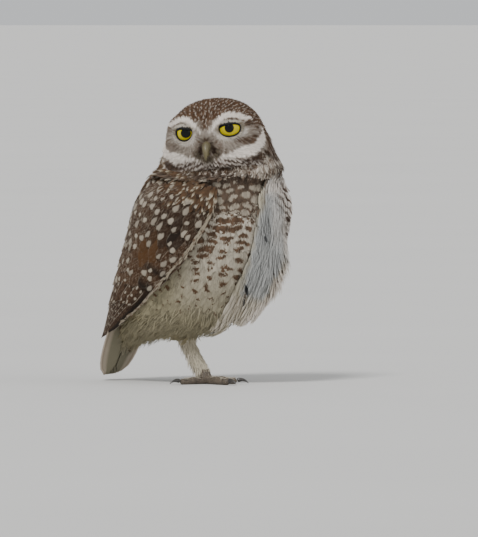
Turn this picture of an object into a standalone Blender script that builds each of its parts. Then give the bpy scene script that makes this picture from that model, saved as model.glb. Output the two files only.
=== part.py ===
"""A life-size burrowing owl that stands on its right foot, with the left one drawn up in its belly feathers.

Metres, +Z up. The bird's body faces -Y, its left side is +X, and the floor is z = 0. The body is a loft of
leaning sections. Every other piece is placed on it, and is cut clear of what it touches by a small gap. Last
of all, everything is moved so that the origin lies under the pad of the standing foot.
"""

import math

import bmesh
import bpy
import numpy as np
from mathutils import Matrix, Vector

MM = 0.001
GAP = 0.32 * MM  # left between two pieces that touch
MID_X = 3 * MM  # the body's mirror plane, left of the standing foot

# Body sections from vent to nape, in millimetres: belly point (y, z), back point (y, z), half-width, shift to
# the bird's left. The head's turn pulls the ruff of the neck over.
BODY_SECTIONS = (
    (80, 23, 92, 36, 11, 0),
    (68, 27, 87, 47, 18, 0),
    (50, 31, 82, 55, 26, 0),
    (28, 33, 77, 66, 35, 0),
    (8, 36, 71, 79, 41, 0),
    (-14, 46, 65, 93, 45, 0),
    (-30, 67, 60, 109, 47.5, 0),
    (-41, 92, 56, 124, 49, 0),
    (-46, 118, 50, 138, 49, 0),
    (-45, 139, 44, 150, 48, 1),
    (-43, 152, 39, 159, 48.5, 3.5),
    (-45, 160, 36, 166, 49.5, 5.5),
    (-43, 166.5, 33, 172, 44, 5.8),
    (-38, 172, 29, 178, 38, 5.8),
)
BODY_RINGS, BODY_SIDES = 22, 36

# Planes that part the neck from the torso and the head: a height at the mirror plane, and the way up.
COLLAR = (156 * MM, Vector((0, -0.09, 1)).normalized())
NAPE = (165.5 * MM, Vector((-0.20, -0.13, 1)).normalized())

# Head: an ellipsoid with unlike halves, turned over the right shoulder.
HEAD_CENTRE = Vector((3, -8, 176)) * MM
HEAD_TURN = math.radians(-60)
HEAD_TILT = math.radians(5.5)
HEAD_HALF_WIDTH = 37 * MM
HEAD_FRONT, HEAD_BACK = 31 * MM, 34 * MM
HEAD_UP, HEAD_DOWN = 35.5 * MM, 24 * MM
HEAD_FULLNESS = 2.25  # 2 is a true ellipsoid, more is boxier
HEAD_SIDES, HEAD_RINGS = 38, 22
FACE_CROWDING = 0.45  # how much closer the mesh runs over the face than over the nape

EYE_ASIDE = {-1: 15.4 * MM, 1: 16.6 * MM}  # right and left
EYE_FORWARD, EYE_UP = 21.2 * MM, 12.1 * MM
EYE_RADIUS = 9.2 * MM
EYE_OUTWARD = math.radians(10)
EYE_OPENINGS = {-1: (6.0 * MM, 5.4 * MM), 1: (7.6 * MM, 5.2 * MM)}  # half-width, half-height between the lids
UPPER_LID, LOWER_LID = 1.5 * MM, 1.2 * MM  # how thick each lid is, as a radius
CORNEA_RADIUS, CORNEA_OUT = 6.6 * MM, 3.9 * MM

# Beak in the head's frame, in millimetres: how far forward, how high, and half its width there.
BEAK_UPPER = (
    (24, 1.2, 4.4), (28.5, 0.9, 4.4), (32, -0.2, 4.0), (34.6, -2.4, 3.2),
    (36.2, -5.2, 2.2), (36.8, -8.0, 1.2), (36.8, -10.2, 0.35),
)
BEAK_LOWER = ((24, -4.8, 3.0), (29.5, -5.1, 2.5), (32.4, -5.8, 1.6), (34.0, -6.8, 0.5))
NOSTRIL_RADIUS = 0.8 * MM

# Folded right wing: its lower edge, its outermost line and its upper edge, wrist to tip, in millimetres.
WING_LOWER = (
    (-27, -37, 147), (-34, -36, 126), (-42, -21, 100), (-45, 1, 79),
    (-42, 26, 60), (-34, 54, 46), (-17, 97, 29),
)
WING_MIDDLE = (
    (-36, -24, 152), (-48, -7, 140), (-51, 16, 119), (-47, 34, 97),
    (-39, 54, 75), (-27, 75, 55), (-11, 99, 31),
)
WING_UPPER = (
    (-35, -6, 157), (-31, 22, 155), (-24, 46, 137), (-19, 59, 114),
    (-14, 70, 90), (-9, 83, 66), (-5, 101, 34),
)
WING_CORE_END = 0.80
LEFT_WING_OUT = (11, 11, 6, 2, 0, 0, 0)  # how far the puffed flank holds the left wing off, in millimetres

TAIL_ROOT = Vector((3, 76, 52)) * MM
TAIL_TIP = Vector((3, 101, 9)) * MM
TAIL_FEATHERS = 12
TAIL_SPREAD = 10.5 * MM
TAIL_HALF_WIDTH = 5.6 * MM  # of one feather

FEATHER_SEED = 5
FEATHER_THICK, PLUME_THICK = 0.8 * MM, 1.0 * MM
PLUME_TILT = -0.14  # how far a loose feather leans round its length, as a slope

FOOT_PLACE = Vector((4, 4, 0)) * MM  # where the pad stands under the body
LEG_TOP = Vector((-2, 23, 40)) * MM
LEG_ANKLE = FOOT_PLACE + Vector((0, 2.8, 8)) * MM
LEG_RADII = ((0, 0.2, 0.55, 0.8, 1), (8.2, 7.6, 6.3, 6.0, 5.6))  # down the shank, in millimetres
FLOOR_CUT = 0.5 * MM  # how much of each toe's roundness the floor flats take

# Toes of the standing foot: heading from straight ahead towards the bird's left, length, base radius.
TOES = {
    "hallux": (152, 16, 2.9),
    "inner": (34, 21, 3.0),
    "middle": (-8, 25, 3.1),
    "outer": (-104, 21, 2.8),
}
CLAW_LENGTH = 9.5 * MM

# Loose feathers of the left side. Patch: shares up the body, angles from the breast, height in millimetres.
# Tiers: root w, tip w at the front and the back, count, v across, half-width and rise at the tip. The last two
# are in millimetres.
FLANK_PATCH = ((0.40, 0.745), (13, 86), 14.5)
FLANK_TIERS = (
    (0.42, (-0.22, 0.06), 7, (0.10, 0.84), 5.2, 3.6),
    (0.66, (0.14, 0.26), 6, (0.12, 0.90), 5.4, 3.8),
    (0.88, (0.46, 0.52), 5, (0.18, 0.88), 5.4, 3.8),
)
LEFT_LEG_PATCH = ((0.345, 0.465), (8, 46), 7.0)
LEFT_LEG_TIERS = (
    (0.50, (-0.42, -0.36), 6, (0.06, 0.94), 3.8, 2.6),
    (0.95, (0.20, 0.26), 5, (0.10, 0.90), 3.8, 3.2),
)
DRAWN_FOOT = (0.478, math.radians(10), -0.8 * MM)  # share up the body, angle from the breast, height over it

FEATHER_OUTLINE = ((0, 0.25, 0.5, 0.75, 0.92, 1), (0.6, 0.86, 1, 0.92, 0.62, 0.22))
BLUNT_OUTLINE = ((0, 0.25, 0.5, 0.75, 0.92, 1), (0.6, 0.86, 1, 1, 0.84, 0.46))
POINTED_OUTLINE = ((0, 0.25, 0.5, 0.75, 0.92, 1), (0.7, 1, 0.9, 0.6, 0.28, 0.1))


def clear_scene():
    for thing in list(bpy.data.objects):
        bpy.data.objects.remove(thing)


def finish(name, colour, roughness):
    """A plain Principled material."""
    made = bpy.data.materials.new(name)
    made.use_nodes = True
    shader = made.node_tree.nodes["Principled BSDF"]
    shader.inputs["Base Color"].default_value = (*colour, 1)
    shader.inputs["Roughness"].default_value = roughness
    return made


def new_object(name, points, faces, material=None):
    """A closed mesh object whose faces all point out."""
    mesh = bpy.data.meshes.new(name)
    mesh.from_pydata([tuple(p) for p in points], [], [tuple(f) for f in faces])
    shape = bmesh.new()
    shape.from_mesh(mesh)
    bmesh.ops.recalc_face_normals(shape, faces=shape.faces)
    shape.to_mesh(mesh)
    shape.free()
    thing = bpy.data.objects.new(name, mesh)
    bpy.context.scene.collection.objects.link(thing)
    if material:
        mesh.materials.append(material)
    return thing


def smooth_line(keys, count=None, at=None):
    """Points on the Catmull-Rom curve through the keys, spread evenly by key number or at given shares."""
    keys = np.asarray(keys, float)
    shares = np.linspace(0, 1, count) if at is None else np.clip(np.asarray(at, float), 0, 1)
    place = shares * (len(keys) - 1)
    first = np.minimum(place.astype(int), len(keys) - 2)
    t = (place - first)[..., None]
    before = keys[np.maximum(first - 1, 0)]
    start, end = keys[first], keys[first + 1]
    after = keys[np.minimum(first + 2, len(keys) - 1)]
    return 0.5 * (
        2 * start
        + (end - before) * t
        + (2 * before - 5 * start + 4 * end - after) * t**2
        + (3 * start - before - 3 * end + after) * t**3
    )


def unit(vectors):
    return vectors / np.linalg.norm(vectors, axis=-1, keepdims=True)


def tube_faces(rings, sides):
    """Triangles between neighbouring rings, all split the same way, and a fan at each end."""
    faces = []
    for r in range(rings - 1):
        for i in range(sides):
            j = (i + 1) % sides
            corners = (r * sides + i, r * sides + j, (r + 1) * sides + j, (r + 1) * sides + i)
            faces += [corners[:3], (corners[0], *corners[2:])]
    low, high = rings * sides, rings * sides + 1
    last = (rings - 1) * sides
    for i in range(sides):
        j = (i + 1) % sides
        faces.append((low, j, i))
        faces.append((high, last + i, last + j))
    return faces


def section_ring(section, sides):
    """An ellipse between a front point and a back point, as wide as the section says."""
    front_y, front_z, back_y, back_z, half_width, aside = section
    angle = np.linspace(0, 2 * math.pi, sides, endpoint=False)
    middle = np.array([(front_y + back_y) / 2, (front_z + back_z) / 2])
    reach = np.array([(front_y - back_y) / 2, (front_z - back_z) / 2])
    along = middle + np.cos(angle)[:, None] * reach
    across = aside + np.sin(angle) * half_width
    return np.column_stack([MID_X + across * MM, along * MM])


def loft(name, sections, rings, sides, material, bulge=3 * MM):
    """A closed loft through sections, with low domes for its ends."""
    rows = smooth_line(sections, rings)
    points = np.concatenate([section_ring(row, sides) for row in rows])
    centre = np.array([points[i * sides : (i + 1) * sides].mean(0) for i in range(rings)])
    low = centre[0] + unit(centre[0] - centre[1]) * bulge
    high = centre[-1] + unit(centre[-1] - centre[-2]) * bulge
    return new_object(name, [*points, low, high], tube_faces(rings, sides), material)


def cut_flat(thing, point, away):
    """Takes what lies beyond a plane off the object, and closes the cut with a flat face."""
    shape = bmesh.new()
    shape.from_mesh(thing.data)
    everything = [*shape.verts, *shape.edges, *shape.faces]
    cut = bmesh.ops.bisect_plane(shape, geom=everything, plane_co=point, plane_no=away, clear_outer=True)
    rim = [part for part in cut["geom_cut"] if isinstance(part, bmesh.types.BMEdge)]
    bmesh.ops.holes_fill(shape, edges=rim)
    bmesh.ops.triangulate(shape, faces=[face for face in shape.faces if len(face.verts) > 4])
    bmesh.ops.recalc_face_normals(shape, faces=shape.faces)
    shape.to_mesh(thing.data)
    shape.free()


def round_rod(name, line, radii, sides, material=None, flatten=1.0, round_end=0.5):
    """A tube along a line whose radius changes, with domed ends. flatten squashes it in height."""
    line, radii = np.asarray(line, float), np.asarray(radii, float)
    forward = unit(np.gradient(line, axis=0))
    hint = np.array([0, 0, 1.0]) if abs(forward[0][2]) < 0.9 else np.array([0, 1.0, 0])
    side = unit(np.cross(forward, hint))
    over = np.cross(side, forward)
    angle = np.linspace(0, 2 * math.pi, sides, endpoint=False)
    points = [
        c + r * (np.cos(a) * s + np.sin(a) * flatten * o)
        for c, r, s, o in zip(line, radii, side, over)
        for a in angle
    ]
    ends = [line[0] - forward[0] * radii[0] * round_end, line[-1] + forward[-1] * radii[-1] * round_end]
    return new_object(name, [*points, *ends], tube_faces(len(line), sides), material)


def apply_boolean(thing, operation, other=None, collection=None, solver="EXACT"):
    """Applies one Boolean to the object's mesh."""
    modifier = thing.modifiers.new("boolean", "BOOLEAN")
    modifier.operation = operation
    modifier.solver = solver
    if collection:
        modifier.operand_type = "COLLECTION"
        modifier.collection = collection
    else:
        modifier.object = other
    bpy.context.view_layer.update()
    evaluated = thing.evaluated_get(bpy.context.evaluated_depsgraph_get())
    result = bpy.data.meshes.new_from_object(evaluated)
    thing.modifiers.clear()
    thing.data = result


def surfaces(shape):
    """The closed surfaces of a bmesh, each a list of faces. Surfaces that only touch count as apart."""
    left, found = set(shape.faces), []
    while left:
        surface, edge_of_search = [], [left.pop()]
        while edge_of_search:
            face = edge_of_search.pop()
            surface.append(face)
            for edge in face.edges:
                if len(edge.link_faces) == 2:
                    fresh = [other for other in edge.link_faces if other in left]
                    left.difference_update(fresh)
                    edge_of_search.extend(fresh)
        found.append(surface)
    return found


def keep_largest(thing):
    """Drops every loose scrap and sealed hollow of the mesh, and keeps its largest closed surface."""
    shape = bmesh.new()
    shape.from_mesh(thing.data)
    bmesh.ops.remove_doubles(shape, verts=shape.verts, dist=0.002 * MM)
    found = surfaces(shape)
    found.sort(key=lambda faces: sum(face.calc_area() for face in faces))
    bmesh.ops.delete(shape, geom=[face for faces in found[:-1] for face in faces], context="FACES")
    shape.to_mesh(thing.data)
    shape.free()


def fuse(thing, pieces):
    """Joins the pieces to the object by one Boolean union, and removes them."""
    group = bpy.data.collections.new(thing.name + "_pieces")
    bpy.context.scene.collection.children.link(group)
    for piece in pieces:
        bpy.context.scene.collection.objects.unlink(piece)
        group.objects.link(piece)
    apply_boolean(thing, "UNION", collection=group, solver="MANIFOLD")
    for piece in pieces:
        bpy.data.objects.remove(piece)
    bpy.data.collections.remove(group)
    keep_largest(thing)


def swollen(thing, by=GAP):
    """A hidden copy of the object, larger by a gap all round, to cut its neighbours with."""
    copy = bpy.data.objects.new(thing.name + "_clearance", thing.data.copy())
    bpy.context.scene.collection.objects.link(copy)
    shape = bmesh.new()
    shape.from_mesh(copy.data)
    shape.normal_update()
    moved = [(v, v.normal * by * v.calc_shell_factor()) for v in shape.verts]
    for vertex, step in moved:
        vertex.co += step
    shape.to_mesh(copy.data)
    shape.free()
    copy.matrix_world = thing.matrix_world
    copy.hide_render = True
    return copy


def cut_clear(thing, neighbours=(), clearances=(), solver="MANIFOLD"):
    """Cuts the object back from its neighbours, leaving the gap. A clearance already holds the gap."""
    for neighbour in neighbours:
        cutter = swollen(neighbour)
        apply_boolean(thing, "DIFFERENCE", other=cutter, solver=solver)
        bpy.data.objects.remove(cutter)
    for cutter in clearances:
        apply_boolean(thing, "DIFFERENCE", other=cutter, solver=solver)
    keep_largest(thing)


def vane(name, line, normals, half_width, thick, tilt=0.0, shares=None, outline=FEATHER_OUTLINE, grow=0.0):
    """One feather as a thin closed plate along a line. It is split into triangles alike on both faces."""
    line, normals = np.asarray(line, float), np.asarray(normals, float)
    shares = np.linspace(0, 1, len(line)) if shares is None else np.asarray(shares, float)
    forward = unit(np.gradient(line, axis=0))
    side = unit(np.cross(forward, normals))
    up = np.cross(side, forward)
    wide = half_width * np.interp(shares, *outline) + grow
    deep = thick * (1 - 0.4 * shares) / 2 + grow
    points = []
    for centre, s, u, w, d in zip(line, side, up, wide, deep):
        left, right = centre - (s + u * tilt) * w, centre + (s + u * tilt) * w
        points += [left + u * d, right + u * d, right - u * d, left - u * d]
    faces = []
    for a in range(0, 4 * len(line) - 4, 4):
        b = a + 4
        faces += [(a, a + 1, b + 1), (a, b + 1, b), (a + 3, b + 2, a + 2), (a + 3, b + 3, b + 2)]
        faces += [(a + 1, a + 2, b + 2), (a + 1, b + 2, b + 1), (a + 3, a, b), (a + 3, b, b + 3)]
    end = 4 * len(line) - 4
    faces += [(0, 3, 2), (0, 2, 1), (end, end + 1, end + 2), (end, end + 2, end + 3)]
    return new_object(name, points, faces)


def make_body(name, material, above=None, below=None):
    """A length of the body, from above one plane to below another. Each plane is a height and a way up."""
    piece = loft(name, BODY_SECTIONS, BODY_RINGS, BODY_SIDES, material)
    if above:
        height, up = above
        cut_flat(piece, Vector((MID_X, 0, height + GAP / 2)), -up)
    if below:
        height, up = below
        cut_flat(piece, Vector((MID_X, 0, height - GAP / 2)), up)
    return piece


def body_point(share, angle, lift=0.0):
    """A point over the body's surface, and the normal. angle is from the breast towards the left."""

    def at(s, a):
        section = smooth_line(BODY_SECTIONS, at=s)
        front_y, front_z, back_y, back_z, half_width, aside = np.moveaxis(section, -1, 0)
        cos, sin = np.cos(a), np.sin(a)
        y = (front_y + back_y) / 2 + cos * (front_y - back_y) / 2
        z = (front_z + back_z) / 2 + cos * (front_z - back_z) / 2
        return np.stack([MID_X + (aside + sin * half_width) * MM, y * MM, z * MM], axis=-1)

    share, angle = np.broadcast_arrays(np.asarray(share, float), np.asarray(angle, float))
    step = 0.01
    low, high = np.clip(share - step, 0, 1), np.clip(share + step, 0, 1)
    along = at(high, angle) - at(low, angle)
    around = at(share, angle + step) - at(share, angle - step)
    normal = unit(np.cross(around, along))
    return at(share, angle) + normal * np.asarray(lift)[..., None], normal


def head_matrix():
    turned = Matrix.Rotation(HEAD_TURN, 4, "Z") @ Matrix.Rotation(-HEAD_TILT, 4, "Y")
    return Matrix.Translation(HEAD_CENTRE) @ turned


def near(direction, path, width):
    """A smooth ridge: 1 where unit directions meet a path of directions, less over a width in radians."""
    path = unit(smooth_line(path, 4 * len(path)) if len(path) > 1 else np.asarray(path, float))
    angle = np.arccos(np.clip(direction @ path.T, -1, 1)).min(axis=1)
    return np.exp(-((angle / width) ** 2))


def head_surface(direction):
    """Points of the head for unit directions, in the head's own frame, which faces -Y."""
    x, y, z = direction.T
    reach = np.stack(
        [
            np.full_like(x, HEAD_HALF_WIDTH),
            np.where(y < 0, HEAD_FRONT, HEAD_BACK),
            np.where(z > 0, HEAD_UP, HEAD_DOWN),
        ],
        axis=-1,
    )
    size = (np.abs(direction / reach) ** HEAD_FULLNESS).sum(axis=1) ** (-1 / HEAD_FULLNESS)
    lift = np.zeros_like(x)
    for side in (-1, 1):
        brow = [
            (side * 0.12, -0.93, 0.34), (side * 0.33, -0.74, 0.59),
            (side * 0.60, -0.52, 0.61), (side * 0.75, -0.45, 0.52),
        ]
        rim = [(side * 0.90, -0.45, 0.30), (side * 0.93, -0.42, -0.02), (side * 0.80, -0.50, -0.34)]
        cheek = [(side * 0.22, -0.86, -0.44), (side * 0.50, -0.76, -0.46), (side * 0.74, -0.60, -0.36)]
        lift += 3.0 * MM * near(direction, brow, 0.15)
        lift += 1.8 * MM * near(direction, rim, 0.15)
        lift += 2.6 * MM * near(direction, cheek, 0.16)
        lift += 2.2 * MM * near(direction, [(side * 0.54, -0.78, 0.32)], 0.44)  # orbit
    lift += 2.4 * MM * near(direction, [(0, -0.97, 0.20), (0, -1, -0.05)], 0.15)  # bristles round the beak
    lift += 1.5 * MM * near(direction, [(0, -0.88, -0.50)], 0.16)  # chin
    return direction * (size + lift)[:, None]


def make_head(material):
    """The feathered head, with brows, cheeks, and a socket and lids round each eye."""
    even = np.linspace(0, 2 * math.pi, HEAD_SIDES, endpoint=False)
    turn = even - FACE_CROWDING * np.sin(even)
    polar = np.linspace(0, math.pi, HEAD_RINGS + 2)[1:-1]
    p, t = (grid.ravel() for grid in np.meshgrid(polar, turn, indexing="ij"))
    directions = np.column_stack([np.sin(p) * np.sin(t), -np.sin(p) * np.cos(t), -np.cos(p)])
    points = head_surface(np.array([*directions, (0, 0, -1), (0, 0, 1)]))
    head = new_object("head", points, tube_faces(HEAD_RINGS, HEAD_SIDES), material)
    for side in (-1, 1):
        opening = eye_opening(side)
        apply_boolean(head, "DIFFERENCE", other=opening, solver="MANIFOLD")
        bpy.data.objects.remove(opening)
    fuse(head, [piece for side in (-1, 1) for piece in make_lids(side)])
    for side in (-1, 1):
        socket = eyeball(f"socket_{side}", side, EYE_RADIUS + GAP, CORNEA_RADIUS + GAP)
        apply_boolean(head, "DIFFERENCE", other=socket, solver="MANIFOLD")
        bpy.data.objects.remove(socket)
    keep_largest(head)
    head.data.transform(head_matrix())
    cut_flat(head, Vector((MID_X, 0, NAPE[0] + GAP / 2)), -NAPE[1])
    return head


def eye_frame(side):
    """The eye's place in the head's frame. Its own -Y looks out."""
    place = Matrix.Translation((side * EYE_ASIDE[side], -EYE_FORWARD, EYE_UP))
    return place @ Matrix.Rotation(side * EYE_OUTWARD, 4, "Z")


def eye_opening(side):
    """A flared plug that opens the feathers of the face in front of the eyeball."""
    half_width, half_height = EYE_OPENINGS[side]
    rows, sides = ((-3, 0.95), (-8, 1.02), (-20, 1.5)), 16
    turn = np.linspace(0, 2 * math.pi, sides, endpoint=False)
    across, up = half_width * np.cos(turn), half_height * np.sin(turn)
    rings = [np.column_stack([across * size, np.full(sides, y * MM), up * size]) for y, size in rows]
    ends = [ring.mean(axis=0) for ring in (rings[0], rings[-1])]
    plug = new_object(f"opening_{side}", np.concatenate([*rings, ends]), tube_faces(len(rows), sides))
    plug.data.transform(eye_frame(side))
    return plug


def make_lids(side):
    """Upper and lower lid: two arcs that follow the eyeball round its opening and meet in its corners."""
    pieces = []
    frame = np.array(eye_frame(side))
    half_width, half_height = EYE_OPENINGS[side]
    for name, start, end, thick in (("upper", -4, 184, UPPER_LID), ("lower", 184, 356, LOWER_LID)):
        count = 9
        sweep = np.radians(np.linspace(start, end, count))
        x = (half_width + 0.6 * thick) * np.cos(sweep)
        z = (half_height + 0.6 * thick) * np.sin(sweep)
        y = -np.sqrt((EYE_RADIUS + 0.8 * MM) ** 2 - x**2 - z**2)
        line = np.column_stack([x, y, z]) @ frame[:3, :3].T + frame[:3, 3]
        radii = thick * np.interp(np.linspace(0, 1, count), (0, 0.15, 0.5, 0.85, 1), (0.6, 0.9, 1, 0.9, 0.6))
        pieces.append(round_rod(f"lid_{name}_{side}", line, radii, 6))
    return pieces


def eyeball(name, side, radius, cornea, material=None):
    """A ball with the cornea's stronger curve on its front, looking along the eye's axis."""
    sides, rings = 16, 10
    turn = np.linspace(0, 2 * math.pi, sides, endpoint=False)
    polar = np.linspace(0, math.pi, rings + 2)[1:-1]
    rows = [(math.sin(p), math.cos(p), t) for p in polar for t in turn] + [(0, 1, 0), (0, -1, 0)]
    points = []
    for across, ahead, t in rows:
        reach = radius
        if ahead > 0:
            inside = cornea**2 - (CORNEA_OUT * across) ** 2
            if inside > 0:
                reach = max(radius, CORNEA_OUT * ahead + math.sqrt(inside))
        points.append((reach * across * math.cos(t), -reach * ahead, reach * across * math.sin(t)))
    ball = new_object(name, points, tube_faces(rings, sides), material)
    ball.data.transform(eye_frame(side))
    return ball


def make_eyes(material):
    eyes = []
    for name, side in (("eye_right", -1), ("eye_left", 1)):
        eye = eyeball(name, side, EYE_RADIUS, CORNEA_RADIUS, material)
        eye.data.transform(head_matrix())
        eyes.append(eye)
    return eyes


def make_beak(head, material):
    """Upper and lower beak, parted by the line of the mouth, with a nostril on each side."""
    pieces = []
    parts = (("beak_upper", BEAK_UPPER, 9, 1.12), ("beak_lower", BEAK_LOWER, 5, 0.85))
    for name, profile, rings, flatten in parts:
        rows = smooth_line(profile, rings) * MM
        line = np.column_stack([np.zeros(rings), -rows[:, 0], rows[:, 1]])
        pieces.append(round_rod(name, line, rows[:, 2], 12, material, flatten=flatten))
    upper, lower = pieces
    for side in (-1, 1):
        line = np.array([(side * 5.0, -31.4, 1.4), (side * 2.6, -32.4, 1.6)]) * MM
        pit = round_rod("nostril", line, [NOSTRIL_RADIUS] * 2, 8)
        apply_boolean(upper, "DIFFERENCE", other=pit, solver="MANIFOLD")
        bpy.data.objects.remove(pit)
    for piece in pieces:
        piece.data.transform(head_matrix())
    cut_clear(upper, [head])
    cut_clear(lower, [head, upper])
    return pieces


class WingSheet:
    """The folded wing's outer surface. t runs from wrist to tip, v from the lower edge to the upper."""

    def __init__(self, side):
        lines = [np.array(line, float) for line in (WING_LOWER, WING_MIDDLE, WING_UPPER)]
        if side > 0:
            push = np.array(LEFT_WING_OUT, float)[:, None] * np.array([1, 0.25, 0])
            for line, share in zip(lines, (1, 0.75, 0.3)):
                line[:, 0] = 2 * MID_X / MM - line[:, 0]
                line += push * share
        self.lines = [line * MM for line in lines]
        self.side = side

    def at(self, t, v):
        t, v = np.broadcast_arrays(np.asarray(t, float), np.asarray(v, float))
        low, middle, high = (smooth_line(line, at=t) for line in self.lines)
        v = v[..., None]
        return low * (v - 0.5) * (v - 1) * 2 + middle * v * (1 - v) * 4 + high * v * (v - 0.5) * 2

    def normal(self, t, v):
        t = np.clip(t, 0.01, 0.99)
        step = 0.01
        along = self.at(t + step, v) - self.at(t - step, v)
        across = self.at(t, v + step) - self.at(t, v - step)
        return unit(np.cross(across, along)) * self.side * -1


def wing_core(name, sheet, material):
    """The body of the wing under its feathers, thick at the shoulder and thin towards the tip."""
    rows, columns = 9, 6
    t = np.linspace(0.0, WING_CORE_END, rows)
    v = np.linspace(0.02, 0.98, columns)
    t_grid, v_grid = np.meshgrid(t, v, indexing="ij")
    outer, normal = sheet.at(t_grid, v_grid), sheet.normal(t_grid, v_grid)
    deep = np.interp(t, (0, 0.1, 0.55, WING_CORE_END), (5, 13, 11, 2.2))[:, None, None] * MM
    round_off = np.abs(2 * v_grid - 1)[..., None] ** 4
    top = outer - normal * (0.2 + 1.1 * round_off) * MM
    under = outer - normal * deep * (1 - 0.5 * round_off)
    rings = [np.concatenate([top[r], under[r][::-1]]) for r in range(rows)]
    points = np.concatenate(rings)
    ends = [rings[0].mean(0), rings[-1].mean(0)]
    return new_object(name, [*points, *ends], tube_faces(rows, 2 * columns), material)


def wing_feather(sheet, name, t, v, half_width, lift, tilt):
    """A vane that lies along the sheet from (t, v) at its root to (t, v) at its tip."""
    share = np.array(FEATHER_SHARES)
    t_line, v_line = t[0] + (t[1] - t[0]) * share, v[0] + (v[1] - v[0]) * share
    normals = sheet.normal(t_line, v_line)
    line = sheet.at(t_line, v_line) + normals * (lift[0] + (lift[1] - lift[0]) * share)[:, None] * MM
    return vane(name, line, normals, half_width, FEATHER_THICK, tilt * -sheet.side, share)


# Rows of the wing: name, count, root t, tip t (each at the lower and the upper end of the row), v at the
# lower and the upper end, half-width in millimetres, lift at root and tip in millimetres, tilt.
WING_ROWS = (
    ("primary", 5, (0.52, 0.56), (0.93, 1.00), (0.08, 0.55), 3.9, (-1.7, -0.5), 0.22),
    ("secondary", 5, (0.46, 0.50), (0.70, 0.88), (0.18, 0.86), 5.6, (-1.5, 1.1), 0.15),
    ("greater_covert", 6, (0.30, 0.36), (0.50, 0.60), (0.07, 0.80), 5.6, (-1.5, 1.6), 0.14),
    ("median_covert", 6, (0.18, 0.22), (0.37, 0.43), (0.07, 0.86), 5.6, (-1.5, 1.7), 0.14),
    ("lesser_covert", 5, (0.06, 0.09), (0.25, 0.30), (0.08, 0.84), 5.6, (-1.5, 1.7), 0.14),
    ("scapular", 4, (0.12, 0.48), (0.32, 0.70), (0.93, 0.94), 6.0, (-0.9, 2.0), 0.10),
)
FEATHER_SHARES = (0, 0.42, 0.8, 1)  # where along its length a feather is given a cross-section


def make_wing(name, side, material):
    """A folded wing: its core, and tiers of feathers that lie over one another like roof tiles."""
    sheet = WingSheet(side)
    core = wing_core(name, sheet, material)
    vary = np.random.default_rng(FEATHER_SEED)
    feathers = []
    for row, count, roots, tips, across, half_width, lift, tilt in WING_ROWS:
        for i in range(count):
            share = i / (count - 1)
            t = (
                roots[0] + (roots[1] - roots[0]) * share,
                tips[0] + (tips[1] - tips[0]) * share + vary.uniform(-0.012, 0.004),
            )
            v = across[0] + (across[1] - across[0]) * share
            ends = (v, v - (v - 0.5) * 0.04)
            wide = half_width * MM * vary.uniform(0.94, 1.04)
            feathers.append(wing_feather(sheet, f"{name}_{row}_{i}", t, ends, wide, lift, tilt))
    fuse(core, feathers)
    return core


def make_tail(material):
    """Twelve rounded tail feathers under one another, outermost lowest, on a short root."""
    down = np.array(TAIL_TIP - TAIL_ROOT)
    length = np.linalg.norm(down)
    along = down / length
    back = np.cross([1.0, 0, 0], along)
    back = back if back[1] > 0 else -back
    root_line = [np.array(TAIL_ROOT) + along * length * s - back * 3 * MM for s in (-0.1, 0.12, 0.3, 0.42)]
    root = round_rod("tail", root_line, np.array([9, 10.5, 9.5, 6]) * MM, 12, material, flatten=0.45)
    feathers = []
    half = TAIL_FEATHERS // 2
    for side in (-1, 1):
        for i in range(half):
            share = (i + 0.5) / half
            step = back * (-0.95 * i + 0.25 * side) * MM
            out = np.array([side * share, 0, 0])
            start = np.array(TAIL_ROOT) + out * 5 * MM - back * 1.0 * MM + step * 0.8
            reach = length * (1 - 0.10 * share**2)
            end = np.array(TAIL_ROOT) + along * reach + out * TAIL_SPREAD + step
            s = np.linspace(0, 1, 6)[:, None] ** 0.9
            line = start + (end - start) * s - back * 1.2 * MM * np.sin(s * math.pi)
            normals = np.repeat(back[None], len(line), axis=0)
            feather = (TAIL_HALF_WIDTH, FEATHER_THICK, 0.05 * side, s[:, 0], BLUNT_OUTLINE)
            feathers.append(vane(f"rectrix_{side}_{i}", line, normals, *feather))
    fuse(root, feathers)
    return root


PLUME_SHARES = (0, 0.36, 0.70, 1)


class Puff:
    """A patch of the body's left side whose loose feathers stand off it in a soft swelling.

    w runs up the patch from 0 to 1, and goes below 0 where feather tips hang past it. v runs from its front
    edge to its back edge.
    """

    def __init__(self, share, angle, height):
        self.share, self.angle, self.height = share, np.radians(angle), height * MM

    def at(self, w, v, lift=0.0):
        w, v = np.broadcast_arrays(np.asarray(w, float), np.asarray(v, float))
        rise = np.sin(np.clip((w + 0.35) / 1.42, 0, 1) * math.pi) ** 0.8
        across = np.sin(np.clip((v + 0.05) / 1.12, 0, 1) * math.pi) ** 0.8
        share = self.share[0] + (self.share[1] - self.share[0]) * w
        angle = self.angle[0] + (self.angle[1] - self.angle[0]) * v
        return body_point(share, angle, self.height * rise * across + lift)


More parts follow.
